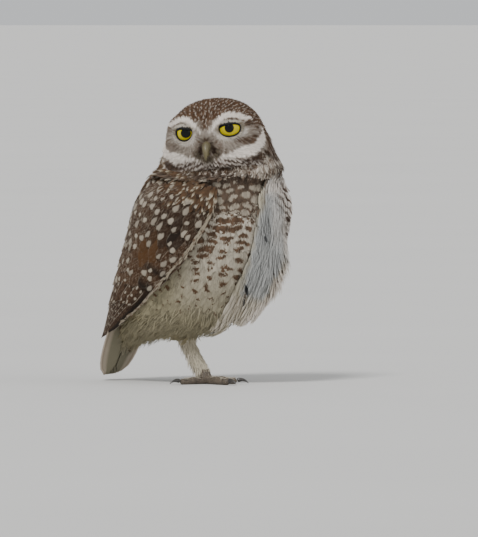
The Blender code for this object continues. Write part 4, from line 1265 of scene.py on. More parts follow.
# Forms of single feathers. An outline is places along a feather and how wide it is there.
PLUME = blade(4, ((0, 0.3, 0.7, 0.92, 1), (0.5, 1, 0.95, 0.55, 0)), 0.10, 0.10)
WING_PLUME = blade(4, ((0, 0.3, 0.72, 1), (0.5, 1, 0.9, 0)), 0.12, 0.10)
TAIL_PLUME = blade(4, ((0, 0.3, 0.72, 1), (0.6, 1, 0.9, 0)), 0.12, 0.10)
BARRED_PLUME = blade(4, ((0, 0.3, 0.7, 0.92, 1), (0.4, 0.9, 1, 0.6, 0)), 0.10, 0.10)
SILK_PLUME = blade(4, ((0, 0.25, 0.6, 0.88, 1), (0.35, 0.9, 1, 0.6, 0)), 0.08, 0.12)
SILK_HAIR = blade(3, ((0, 0.3, 0.7, 1), (0.3, 1, 0.7, 0)), 0.5, 0.0)
WISP = blade(3, ((0, 0.45, 1), (0.7, 1, 0)), 0.6, 0.0)
FRINGE = blade(3, ((0, 0.3, 0.7, 1), (0.7, 1, 0.8, 0)), 0.5, 0.0)
BRISTLE = blade(3, ((0, 0.5, 1), (1, 0.8, 0)), 1.0, 0.0)
VANE = sheet_blade(6, 9)
FEATHER_OUTLINE = ((0, 0.2, 0.5, 0.75, 0.88, 0.96, 1), (0.45, 0.85, 1, 0.97, 0.80, 0.50, 0.12))
BLUNT_OUTLINE = ((0, 0.2, 0.5, 0.72, 0.85, 0.94, 1), (0.9, 0.98, 1, 0.98, 0.88, 0.66, 0.25))
LONG_OUTLINE = ((0, 0.1, 0.4, 0.8, 0.92, 0.98, 1), (0.35, 0.8, 1, 0.92, 0.72, 0.42, 0.12))


# ---- Operators ----


class OWL_OT_skin(bpy.types.Operator):
    """Fuse the solids of flesh to one skin under the coat"""

    bl_idname = "owl.skin"
    bl_label = "Skin"

    def execute(self, context):
        make_skin(context.scene.owl_sizes, context.scene.owl_colours)
        return {"FINISHED"}


class OWL_OT_coat(bpy.types.Operator):
    """Lay the small feathers of the head, the body and the leg"""

    bl_idname = "owl.coat"
    bl_label = "Coat"

    def execute(self, context):
        sizes, colours = context.scene.owl_sizes, context.scene.owl_colours
        random = np.random.default_rng(sizes.seed)
        roots = gather_roots(sizes, random)
        look = plumage_material("body feathers", colours, colours.cream)
        self.head(roots, colours, random)
        self.body(roots, colours, look, random)
        self.belly_fringe(roots, look, random)
        self.leg(roots, colours, random)
        return {"FINISHED"}

    def head(self, roots, colours, random):
        look = plumage_material("head feathers", colours, FACE_GROUND)
        head = (roots["region"] == "head") & (eyes_away(roots["local"]) > 0.9)
        face = head & (roots["local"][:, 1] < -12)
        for name, where, rise, twist in (("face", face, 0.22, 0.12), ("crown", head & ~face, 0.26, 0.10)):
            some = pick(roots, where)
            few = thinned(some, FINE_SPACING)
            coat(f"{name}_feathers", few, head_looks, PLUME, head_length(few), 0.50 * MM, rise, 0.12,
                 "brown_plumage", look, random, twist=twist)
            coat(f"{name}_down", some, head_looks, WISP, head_length(some) * 1.05, 0.20 * MM, rise + 0.06,
                 0.10, "brown_plumage", look, random, twist=twist * 1.8)

    def body(self, roots, colours, look, random):
        """Ruff, back, vent and breast: feathers, and finer down between them."""
        body, share, angle = roots["region"] == "body", roots["share"], np.degrees(roots["angle"])
        ruff = body & (share > RUFF_SHARE)
        back = body & ~ruff & ((angle < -95) | (angle > 92))
        vent = body & ~ruff & ~back & (share < VENT_SHARE)
        breast = body & ~ruff & ~back & ~vent
        vent_look = plumage_material("vent feathers", colours, colours.olive)
        for name, where, spacing, length, half_width, rise, hair, fine, slot, material in (
            ("ruff", ruff, 1.6, 6.5, 1.0, 0.20, 5.5, 0.22, "brown_plumage", look),
            ("mantle", back, 2.6, 10.0, 2.6, 0.22, 0, 0, "brown_plumage", look),
            ("vent", vent, 2.0, 8.0, 1.5, 0.14, 7.0, 0.20, "pale_plumage", vent_look),
            ("breast", breast, 1.9, 8.5, 1.7, 0.15, 6.5, 0.24, "pale_plumage", look),
        ):
            some = pick(roots, where)
            few = thinned(some, spacing * MM)
            # The ruff's sides hang longer and bend down more.
            beside = soft(np.abs(np.degrees(few["angle"])), 45, 75) * soft(few["share"], 0.90, 0.82)
            beside = beside * (name == "ruff")
            length = (length + 4.5 * beside) * MM
            curl = 0.13 + 0.38 * beside[:, None]
            coat(f"{name}_feathers", few, body_looks, PLUME, length, half_width * MM, rise - 0.10 * beside,
                 curl, slot, material, random)
            if hair:
                coat(f"{name}_down", some, body_looks, WISP, hair * MM, fine * MM, rise + 0.06, 0.12, slot,
                     material, random, twist=0.16)

    def belly_fringe(self, roots, look, random):
        """Loose tufts that hang from the underside of the belly."""
        down = roots["normal"][:, 2] + random.normal(0, 0.12, len(roots["share"])) < -0.62
        low = (roots["region"] == "body") & down & (roots["share"] < 0.42)
        coat("belly_fringe", thinned(pick(roots, low), 1.3 * MM), body_looks, FRINGE, 8.5 * MM, 0.38 * MM,
             0.38, 0.0, "pale_plumage", look, random, twist=0.2, clump=4.0 * MM)

    def leg(self, roots, colours, random):
        look = plumage_material("leg down", colours, tone(colours.cream, 1.45))
        leg = pick(roots, roots["region"] == "leg")
        rear = pick(leg, leg["normal"] @ np.array([-0.6, 0.8, 0]) > 0.35)
        coat("leg_fringe", thinned(rear, 1.1 * MM), plain_looks(0.45), FRINGE, 6.0 * MM, 0.30 * MM,
             0.50, 0.0, "pale_plumage", look, random, twist=0.25, clump=2.4 * MM)
        coat("leg_down", leg, plain_looks(0.3), WISP, 4.6 * MM, 0.40 * MM, 0.32, 0.1, "pale_plumage", look,
             random, twist=0.3)


class WingSheet:
    """The folded wing's outer surface. t runs from wrist to tip, v from the lower edge to the upper."""

    def __init__(self, side):
        lines = [np.array(line, float) for line in (WING_LOWER, WING_MIDDLE, WING_UPPER)]
        if side > 0:
            push = np.array(LEFT_WING_OUT, float)[:, None] * np.array([1, 0.25, 0])
            for line, share in zip(lines, (1, 0.75, 0.3)):
                line[:, 0] = 2 * MID_X / MM - line[:, 0]
                line += push * share
        self.lines = [line * MM - FOOT_PLACE for line in lines]
        self.side = side

    def at(self, t, v):
        """Points of the surface: a curve over v through the three lines."""
        t, v = np.broadcast_arrays(np.asarray(t, float), np.asarray(v, float))
        low, middle, high = (smooth_line(line, t) for line in self.lines)
        v = v[..., None]
        return low * (v - 0.5) * (v - 1) * 2 + middle * v * (1 - v) * 4 + high * v * (v - 0.5) * 2

    def normal(self, t, v):
        """The way out of the surface."""
        small = 0.01
        t = np.clip(t, small, 1 - small)
        along = self.at(t + small, v) - self.at(t - small, v)
        across = self.at(t, v + small) - self.at(t, v - small)
        return unit(np.cross(across, along)) * self.side * -1


def vane_points(line, normals, half_width, thick, tilt, outline, camber=0.18):
    """Points of one vane along a line, with their millimetres across, from the tip, and the half-width."""
    x, y, z = VANE[0].T
    shares = np.linspace(0, 1, len(line))
    centre = at_shares(y, shares, line)
    up = unit(at_shares(y, shares, normals))
    ahead = unit(at_shares(y, shares, np.gradient(line, axis=0)))
    side = unit(np.cross(ahead, up))
    wide = half_width * np.interp(y, *outline)
    lean = side + up * tilt
    rise = z * thick * (1 - 0.5 * y) - camber * x * x * wide
    made = centre + lean * (x * wide)[:, None] + up * rise[:, None]
    length = np.linalg.norm(np.diff(line, axis=0), axis=1).sum()
    return made, np.column_stack([x * wide, (1 - y) * length]) / MM, np.maximum(wide / MM, 0.3)


def cell_uv(number, grid):
    """A vane's unwrap in a cell of its own, of a square of grid by grid cells."""
    cell = np.array([number % grid, number // grid]) / grid
    return cell + (VANE[0][:, :2] * (0.45, 0.9) + (0.5, 0.05)) / grid


# Rows of the wing from the tip up: count, root t and tip t (each at the row's lower and upper end), v at
# those ends, half-width and lift at root and tip in millimetres, tilt, bars or one spot, size of marks,
# warmth and darkness.
FLIGHT_ROWS = (
    (8, (0.52, 0.56), (0.955, 0.965), (0.04, 0.60), 3.4, (-2.2, -0.4), 0.22, 1, 0.5, 0.1, 0.25),
    (9, (0.46, 0.50), (0.72, 0.92), (0.12, 0.92), 4.2, (-2.0, 0.5), 0.15, 1, 0.75, 0.3, 0.15),
)
COVERT_ROWS = 12
LINE_POINTS = 7  # points along a vane's line
SCAPULAR_ROWS = (
    (5, (0.34, 0.60), (0.52, 0.82), (0.88, 0.94), 4.8, (-1.2, 1.4), 0.10, 0, 0.9, 0.2, 0.0),
    (6, (0.24, 0.50), (0.42, 0.72), (0.92, 0.98), 4.8, (-1.0, 1.6), 0.10, 0, 0.9, 0.2, 0.0),
    (6, (0.12, 0.42), (0.30, 0.62), (0.96, 1.0), 4.8, (-1.0, 1.7), 0.10, 0, 0.8, 0.2, 0.0),
)


def wing_rows():
    """All rows of a wing in the order in which they lie over one another, lowest first."""
    rows = list(FLIGHT_ROWS)
    for i in reversed(range(COVERT_ROWS)):
        f = i / (COVERT_ROWS - 1)
        tips = (0.115 + 0.46 * f, 0.135 + 0.60 * f)
        roots = (max(tips[0] - 0.16, 0.0), max(tips[1] - 0.16, 0.0))
        shift = 0.028 * (-1) ** i
        across = (0.05 + shift, 0.90 + shift)
        size = 0.86 + 0.14 * math.sin(f * math.pi)
        dark = 0.50 * math.exp(-(((f - 0.30) / 0.28) ** 2))
        rows.append((9, roots, tips, across, 5.0, (-2.0, 1.2), 0.12, 0, size, 0.10 + 0.30 * f, dark))
    return rows + list(SCAPULAR_ROWS)


class OWL_OT_wings(bpy.types.Operator):
    """Fold both wings: a core, and rows of spotted feathers that lie over one another"""

    bl_idname = "owl.wings"
    bl_label = "Wings"

    def execute(self, context):
        sizes, colours = context.scene.owl_sizes, context.scene.owl_colours
        look = wing_material("wing feathers", colours)
        small = plumage_material("small wing feathers", colours, colours.cream)
        for name, side in (("wing_right", -1), ("wing_left", 1)):
            random = np.random.default_rng(sizes.seed + 2)
            sheet = WingSheet(side)
            self.core(name, sheet, look)
            self.feathers(name, sheet, look, random)
            self.small_feathers(name, sheet, small, random)
        return {"FINISHED"}

    def core(self, name, sheet, look):
        """A plate under the feathers, which closes the wing."""
        shape = flat_grid(12, 28, 1)
        x, y, _ = places(shape).T
        t, v = 0.05 + (y * 0.5 + 0.5) * 0.81, x * 0.43 + 0.53
        put(shape, sheet.at(t, v) - sheet.normal(t, v) * CORE_WALL)
        middle = shape.faces[:][len(shape.faces) // 2]
        if middle.normal.x * sheet.side < 0:
            bmesh.ops.reverse_faces(shape, faces=shape.faces)
        bmesh.ops.solidify(shape, geom=shape.faces[:], thickness=CORE_WALL)
        bmesh.ops.recalc_face_normals(shape, faces=shape.faces)
        shape_piece(name + "_core", shape, look, "brown_plumage", smooth=False,
                    vane=(2, 20, 0.3), spots=(4, 0, 0), tint=(0, 0, 0.5))

    def feathers(self, name, sheet, look, random):
        """The rows of vanes, each with its own marks and tint."""
        points, vanes, spots, tints, uvs = [], [], [], [], []
        rows = wing_rows()
        grid = math.ceil(math.sqrt(sum(row[0] for row in rows)))
        run = np.linspace(0, 1, LINE_POINTS)
        for count, roots, tips, across, half_width, lift, tilt, kind, size, warm, dark in rows:
            for i in range(count):
                share = i / (count - 1)
                v = between(across, share) + random.normal(0, 0.010)
                start = between(roots, share)
                end = between(tips, share) + random.normal(0, 0.009)
                t, v_line = start + (end - start) * run, v - (v - 0.5) * 0.04 * run
                normals = sheet.normal(t, v_line)
                line = sheet.at(t, v_line) + normals * between(lift, run)[:, None] * MM
                outline = LONG_OUTLINE if kind else FEATHER_OUTLINE
                wide = half_width * MM * random.uniform(0.94, 1.06)
                made, vane, half = vane_points(line, normals, wide, 0.2 * MM, tilt * -sheet.side, outline)
                chance = np.full(len(made), random.random())
                size_here, tint = self.vane_tint(start, end, v, sheet.side, kind, size, warm, dark, random)
                points.append(made)
                vanes.append(np.column_stack([vane, chance]))
                spots.append(np.column_stack([half, np.full(len(made), kind), size_here + 0 * chance]))
                tints.append(tint)
                uvs.append(cell_uv(len(uvs), grid))
        mesh_piece(name + "_feathers", np.array(points), VANE[1], look, "brown_plumage", (name,),
                   np.array(uvs), vane=np.array(vanes), spots=np.array(spots), tint=np.array(tints))

    def vane_tint(self, start, end, v, side, kind, size, warm, dark, random):
        """The size of a vane's marks, and how warm, pale and dark it is, by its place on the wing. Its
        darkness holds painted shade: two patches of shadow, the gaps between rows, and the lower edge.
        """
        x, y, z = VANE[0].T
        rusty = bell(end - 0.46, 0.055) * bell(v - 0.27, 0.13)
        # Painted shade: two patches of shadow on the wing.
        deep = bell(end - 0.36, 0.06) * bell(v - 0.12, 0.10) + bell(end - 0.14, 0.045) * bell(v - 0.18, 0.14)
        bare = rusty > 0.35 or random.random() < 0.16
        size = size * random.uniform(0.66, 1.16) * (not bare)
        front = bell(v - 0.25, 0.30)
        pale = 0.15 if kind else 0.35 + 0.65 * (1 - front)
        warmth = min(1, warm * random.uniform(0.3, 1) + 1.2 * rusty)
        place = start + (end - start) * y
        # Painted shade in the gaps between rows near the lower edge.
        shadow_in_gaps = (bell(place - 0.485, 0.020) + bell(place - 0.575, 0.024)) * soft(v, 0.24, 0.12)
        # Painted shade along the lower edge of the lowest feathers.
        inner = soft(x * side, -0.2, 0.4) * soft(v, 0.16, 0.06) * soft(place, 0.57, 0.66)
        shade = dark * (0.25 + front) * (1 - rusty) + 0.7 * deep + shadow_in_gaps + 0.8 * inner
        pale = np.full(len(x), pale * (1 - rusty))
        return size, np.column_stack([np.where(z < 0, -1, warmth), pale, np.clip(shade, 0, 1)])

    def small_feathers(self, name, sheet, look, random):
        """Shoulder, edge and upper rim of the wing, in feathers as small as the body's."""
        count, edge_count = 9000, 700
        t, v = random.uniform(0.0, 0.86, count), random.uniform(-0.01, 1.02, count)
        shoulder = t < 0.10 + 0.03 * random.normal(0, 1, count)
        rim = v > 0.93 + 0.04 * random.random(count)
        for part, where, spacing, length, half_width, lift, brown, white, dark in (
            ("shoulder", shoulder, 1.6, 6.5, 1.0, 0.5, 0.95, 0.25, 0.25),
            ("rim", rim & ~shoulder, 2.0, 9.0, 1.1, 1.2, 0.95, 0.2, 0.1),
            ("edge", slice(0), 0.9, 6.0, 0.42, 0.3, 0.35, 0.22, 0.0),
        ):
            tt, vv = t[where], v[where]
            if part == "edge":
                tt, vv = random.uniform(0.03, 0.84, edge_count), random.uniform(-0.012, 0.006, edge_count)
                sparse = (tt < 0.46) | (random.random(edge_count) < 0.30)
                tt, vv = tt[sparse], vv[sparse]
            normal = sheet.normal(tt, np.clip(vv, 0, 1))
            place = sheet.at(tt, vv) + normal * lift * MM
            flow = unit(sheet.at(tt + 0.02, vv) - sheet.at(tt - 0.02, vv))
            roots = roots_at(place, normal, flow, (vv * 0.9 + 0.05, tt * 0.9 + 0.05), spacing * MM)
            pale = random.random(len(roots["place"]))[:, None] > 0.66

            def looks(made, some, y):
                tint = np.empty(made.shape)
                streak = pale * soft(y, 0.25, 0.5)[None]
                tint[..., 0] = brown * (1 - 0.7 * streak) if part != "edge" else brown + 0.6 * streak
                tint[..., 1] = white * streak + (white if part == "edge" else 0)
                tint[..., 2] = dark * (1 - streak)
                return {"tint": tint, "mark": (0, 0, 0)}

            coat(f"{name}_{part}", roots, looks, WING_PLUME, length * MM, half_width * MM, 0.12, 0.08,
                 "brown_plumage", look, random, twist=0.12)


class OWL_OT_tail(bpy.types.Operator):
    """Stack the tail's twelve feathers"""

    bl_idname = "owl.tail"
    bl_label = "Tail"

    def execute(self, context):
        colours = context.scene.owl_colours
        random = np.random.default_rng(context.scene.owl_sizes.seed + 3)
        look = wing_material("tail feathers", colours)
        down = TAIL_TIP - TAIL_ROOT
        length = np.linalg.norm(down)
        along = down / length
        back = np.cross(X_WAY, along)
        back = back if back[1] > 0 else -back
        points, vanes, spots, tints, uvs = [], [], [], [], []
        for side in (-1, 1):
            for i in range(6):
                share = (i + 0.5) / 6
                step = back * (-0.95 * i + 0.25 * side) * MM
                out = np.array([side * share, 0, 0])
                start = TAIL_ROOT + (out * 8 + back * 0.5) * MM + step * 0.8
                start[0] -= (4.0 + 8.0 * share * (side < 0)) * MM
                end = TAIL_ROOT + along * length * (1.12 - 0.12 * share**2) + step
                end += (out * 7.4 + back * 0.8 - X_WAY * 3.0) * MM
                s = np.linspace(0, 1, LINE_POINTS)[:, None]
                bulge = (out * (2.5 - 1.5 * side) - back * 1.2) * MM
                line = start + (end - start) * s + bulge * np.sin(s * math.pi)
                normals = np.repeat(back[None], len(line), axis=0)
                made, vane, half = vane_points(
                    line, normals, 8.6 * MM, 0.22 * MM, 0.05 * side, BLUNT_OUTLINE, 0.1
                )
                n = len(made)
                under = VANE[0][:, 2] < 0
                points.append(made)
                vanes.append(np.column_stack([vane, np.full(n, random.random())]))
                spots.append(np.column_stack([half, np.ones(n), 0.6 * ~under]))
                pale = under & (VANE[0][:, 0] * side > 0)
                tints.append(np.column_stack([np.where(under, -1, 0.2), 1.0 * pale, 0.1 * ~under]))
                uvs.append(cell_uv(len(uvs), 4))
        mesh_piece("tail_feathers", np.array(points), VANE[1], look, "brown_plumage", ("tail",),
                   np.array(uvs), vane=np.array(vanes), spots=np.array(spots), tint=np.array(tints))
        self.coverts(colours, random, along, back, length)
        return {"FINISHED"}

    def coverts(self, colours, random, along, back, length):
        """Loose pale feathers under the tail, and brown ones over its root."""
        count = 2600
        run, aside = random.uniform(-0.32, 0.50, count), random.uniform(-1, 1, count)
        wide = (7.5 + 4.5 * np.clip(run, 0, 1)) * MM
        round_off = np.sqrt(np.maximum(1 - aside**2, 0))
        for name, sign, slot, base, white, deep in (
            ("under_tail", -1, "pale_plumage", UNDER_TAIL, 0.06, np.interp(run, *UNDER_TAIL_DEPTH)),
            ("over_tail", 1, "brown_plumage", colours.brown, 0.05, 3.0),
        ):
            place = (
                TAIL_ROOT + along * (run * length)[:, None] + X_WAY * (aside * wide)[:, None]
                + back * (sign * deep * MM * round_off)[:, None]
            )
            normal = unit(back * (sign * round_off)[:, None] + X_WAY * (aside * 0.8)[:, None])
            roots = roots_at(place, normal, along, (aside * 0.4 + 0.5, run * 0.4 + 0.5), 1.5 * MM)
            look = plumage_material(name.replace("_", " ") + " feathers", colours, base)
            coat(name, roots, plain_looks(white), TAIL_PLUME, 11 * MM, 1.2 * MM, 0.10, 0.08, slot, look,
                 random, twist=0.12)


def puff_at(patch, w, v, lift=0.0):
    """The loose swelling of the body's left side. w runs up the patch, v from its front edge to its back."""
    share_ends, angle_ends, height = patch
    w, v = np.broadcast_arrays(np.asarray(w, float), np.asarray(v, float))
    rise = np.sin(np.clip((w + 0.35) / 1.42, 0, 1) * math.pi) ** 0.8
    rise = np.maximum(rise, 0.38 * soft(w, 0.80, 0.95) * soft(w, 1.32, 1.15))
    rise = rise + 0.30 * soft(w, 0.55, 0.78) * soft(w, 1.25, 1.0) * soft(v, 0.18, 0.42)
    low = soft(w, 0.60, 0.30)
    across = np.sin(np.clip((v + 0.05 + 0.22 * low) / (1.12 + 0.22 * low), 0, 1) * math.pi) ** 0.8
    across = across * soft(v, -0.24, 0.12 - 0.12 * low)
    lift = lift + height * MM * rise * across
    return body_point(between(share_ends, w), np.radians(between(angle_ends, v)), lift)[:2]


def flank_front(w, low):
    """Where along v the flank begins, from its bottom up."""
    return np.interp(w, (0.25, 0.50, 0.75, 0.95, 1.10), (low, -0.10, -0.04, 0.02, 0.12))


def flank_looks(made, roots, y):
    """Silky and bluish in front, barred brown and white where it turns away, and cream at the bottom, with
    painted shade in its valley and below its white patch.
    """
    u, z = made @ ACROSS / MM, made[..., 2] / MM

    def beyond(line):
        edge, heights = zip(*line)
        return u - np.interp(z, heights, edge)

    side = beyond(FLANK_EDGE) + 1.3 * wobble(z, u, 9.0, 2)
    away = made[..., 0] / MM - 30 + 0.55 * made[..., 1] / MM
    outer = np.maximum(soft(side, -9.5, -4), soft(away, 8, 13))
    chance = np.random.default_rng(8).random(len(made))[:, None]
    neck = soft(z + 2.5 * wobble(u, z, 6.0, 22), 150, 155)
    breast = soft(beyond(FLANK_BREAST) + 1.5 * wobble(u, z, 8.0, 23), 4.5, -1.0)
    white = bell(u - 49, 6.0) * bell(z - 147, 6.0)
    # Painted shade: a shadow below the white patch, and a dark line down the valley between the plumes.
    shadow_below_white = bell(u - 47.5, 3.0) * bell(z - 137.5, 3.5)
    valley_shadow = bell(u - 45.0 + 0.06 * (125 - z), 2.6) * soft(z, 137, 126) * soft(z, 98, 106)
    cream = np.maximum(soft(z + 0.25 * (u - 30), 68, 61), soft(side, -10, -5) * soft(z, 92, 80))
    tint = np.empty(made.shape)
    fleck = breast * np.where(chance > 0.60, 0.85, 0.05) * soft(z, 96, 120)
    tint[..., 0] = np.maximum(neck * np.where(chance > 0.42, 0.9, 0.15), fleck)
    lit = 0.20 + 0.34 * outer + 0.22 * soft(u, 46, 51) * soft(z, 96, 112) + 0.30 * cream + 0.75 * white
    tint[..., 1] = np.clip(lit, 0, 1) * (1 - 0.5 * neck)
    tint[..., 2] = np.clip(cream * 0.95 + 0.30 * outer + 0.9 * breast, 0, 1)
    barred = np.maximum(outer * soft(z, 84, 104), 0.8 * soft(u, 50, 54) * soft(z, 126, 132))
    barred = barred * (1 - neck) * 0.8 * (1 - 0.85 * white) * (0.45 + 0.55 * soft(z, 112, 126))
    shade = np.clip(0.35 * valley_shadow + 0.25 * shadow_below_white, 0, 1)
    return {"tint": tint, "mark": np.stack([shade, barred, 0 * shade], axis=-1)}


def thigh_looks(made, roots, y):
    """Cream, and more olive towards the belly."""
    u = made @ ACROSS / MM
    light = soft(u, 12, 26)
    return {"tint": np.stack([0 * u, 0.12 + 0.33 * light, 0.95 + 0 * u], axis=-1), "mark": (0, 0, 0)}


def hang_length(roots, length):
    """Lengths of plumes, in metres, shortened where their tips would hang below the hem."""
    tip = roots["place"] + roots["flow"] * length * MM
    hem = np.interp(tip @ ACROSS / MM, *zip(*FLANK_HEM))
    height, low = roots["place"][:, 2] / MM, tip[:, 2] / MM
    room = np.clip((height - hem) / np.maximum(height - low, 0.1), 0, 1)
    return length * MM * np.where(low < hem, room, 1)


def hang_rise(roots):
    """How much more the plumes stand out where the flank turns away over its lower edge."""
    u, z = roots["place"] @ ACROSS / MM, roots["place"][:, 2] / MM
    return 0.32 * soft(u, 46, 54) * soft(z, 112, 98)


class OWL_OT_flank(bpy.types.Operator):
    """Let the long feathers of the left flank and the drawn-up leg hang over their swellings"""

    bl_idname = "owl.flank"
    bl_label = "Flank"

    def execute(self, context):
        colours = context.scene.owl_colours
        random = np.random.default_rng(context.scene.owl_sizes.seed + 4)
        look = silk_material("flank plumes", colours)
        self.mound("flank_core", FLANK_PATCH, 0.08, look)
        self.mound("thigh_core", THIGH_PATCH, 0.35, look)
        self.plumes("flank", FLANK_PATCH, 18000, (-0.08, 1.24), (-0.24, 1.04), 12.0, look, random,
                    ("flank_left",), flank_looks)
        self.plumes("thigh", THIGH_PATCH, 6000, (-0.20, 1.0), (-0.2, 1.05), 10.0, look, random,
                    ("leg_left",), thigh_looks)
        self.wing_fringe(look, random)
        return {"FINISHED"}

    def wing_fringe(self, look, random):
        """Barred feathers that hang over the front edge of the left wing, outside and inside."""
        sheet = WingSheet(1)
        count, end = 3000, 0.46
        for name, face, reach, lift in (
            ("wing_left_fringe", 1, 0.42, 1.5),
            ("wing_left_lining", -1, 0.18, 3.5),
        ):
            t, v = random.uniform(0.0, end, count), random.uniform(-0.02, reach, count)
            inside = v < reach * (1 - 0.6 * t / end)
            t, v = t[inside], v[inside]
            normal = unit(sheet.normal(t, v) * face + np.array([-0.3, -0.3, 0.15]))
            place = sheet.at(t, v) + sheet.normal(t, v) * face * lift * MM
            flow = unit(sheet.at(t + 0.03, v) - sheet.at(t, v))
            roots = roots_at(place, normal, flow, (v * 2 + 0.1, t * 1.8 + 0.1), 1.5 * MM)
            coat(name, roots, flank_looks, BARRED_PLUME, 7.5 * MM, 0.9 * MM, 0.14, 0.08, "pale_plumage",
                 look, random)

    def mound(self, name, patch, low, look):
        """A plate under the plumes, which closes the swelling."""
        shape = flat_grid(18, 24, 0.5)
        x, y, _ = places(shape).T
        w = y * (1 - low) + 0.5 * (1 + low)
        front = np.maximum(flank_front(w, 0.0) + 0.06, 0)
        put(shape, puff_at(patch, w, front + (1 - front) * (x + 0.5), -4.6 * MM)[0])
        bmesh.ops.solidify(shape, geom=shape.faces[:], thickness=1.5 * MM)
        bmesh.ops.recalc_face_normals(shape, faces=shape.faces)
        shape_piece(name, shape, look, "pale_plumage", vane=(0, 0, 0.2), tint=(0, 0.1, 0.1), mark=(0, 0, 0))

    def plumes(self, name, patch, count, w_range, v_range, length, look, random, replaces, looks):
        """Broad soft feathers, and finer ones over them whose tips draw together."""
        w = random.uniform(*w_range, count)
        v = random.uniform(*v_range, count)
        front = flank_front(w, v_range[0])
        inside = v > front + 0.04 * wobble(w * 60, v * 60, 9.0, 5) + random.normal(0, 0.025, count)
        w, v = w[inside], v[inside]
        place, normal = puff_at(patch, w, v, -1.8 * MM)
        ahead = unit(puff_at(patch, w - 0.05, v, -1.8 * MM)[0] - place)
        unwrap = (v * 0.9 + 0.05, np.clip(w, 0, 1) * 0.9 + 0.05)
        roots = roots_at(place, normal, ahead, unwrap, FINE_SPACING)
        roots = pick(roots, hang_length(roots, length) > 0.3 * length * MM)
        few = thinned(roots, 2.0 * MM)
        coat(name + "_feathers", few, looks, SILK_PLUME, hang_length(few, length), 1.8 * MM,
             0.06 + hang_rise(few), 0.05, "pale_plumage", look, random, replaces, twist=0.12,
             clump=PLUME_CLUMP)
        coat(name + "_down", roots, looks, SILK_HAIR, hang_length(roots, length * 0.85), 0.26 * MM,
             0.10 + hang_rise(roots), 0.06, "pale_plumage", look, random, twist=0.12, clump=PLUME_CLUMP)


# ---- Rods for beak, toes and claws ----


def rod(name, line, radii, sides, rings, material, slot, replaces=(), flatten=1.0, dome=2.6):
    """A round piece along a line: a ball drawn out so that its poles are the two ends."""
    shape = globe(sides, rings)
    x, y, z = places(shape).T
    polar = np.arccos(np.clip(z, -1, 1))
    share = 1 - polar / math.pi
    turn = np.arctan2(y, x)
    knots = np.linspace(0, 1, 64)
    fine = smooth_line(line, knots)
    ahead = unit(np.gradient(fine, axis=0))
    side = unit(np.cross(ahead, Z_WAY if abs(ahead[0][2]) < 0.9 else np.array([0, 1.0, 0])))
    centre, aside, over = (at_shares(share, knots, way) for way in (fine, side, np.cross(side, ahead)))
    size = smooth_line(radii[:, None], share)[:, 0] * np.clip(np.sin(polar) * dome, 0, 1) ** 0.6
    width, height = np.cos(turn) * size, np.sin(turn) * size * flatten
    put(shape, centre + aside * width[:, None] + over * height[:, None])
    along = np.column_stack([share, np.sin(turn), turn])
    return shape_piece(name, shape, material, slot, replaces, along=along)


def eye_front(across):
    """How far the eye's surface lies before its centre, at a distance across from its axis. Millimetres."""
    ball = np.sqrt(np.maximum(EYE_RADIUS**2 - across**2, 1.0))
    cornea = np.sqrt(np.maximum(CORNEA_RADIUS**2 - across**2, 0.0))
    return np.maximum(ball, np.where(cornea > 0, CORNEA_OUT + cornea, 0))


def lid_line(side, turn, out):
    """A ring round the eye, seen along its axis: the lids' edge where out is 0, their outer end at 1."""
    half_width, half_height = EYE_OPENINGS[side]
    rise, aside = np.sin(turn), np.cos(turn)
    upper = LID_TOPS[side] * np.abs(rise) ** 0.75 * (1 + 0.24 * aside * side)
    edge = np.where(rise > 0, upper, half_height * rise)
    outer = (half_height + 2.4) * rise
    across = (half_width + 2.2 * out) * aside
    return across, edge + (outer - edge) * out


def lid_front(side, turn, x, z):
    """How far the lids lie before the eye's centre: over its surface, but not before their own edge."""
    edge = np.hypot(*lid_line(side, turn, 0.0))
    return np.minimum(eye_front(edge), eye_front(np.hypot(x, z)) + 1.4)


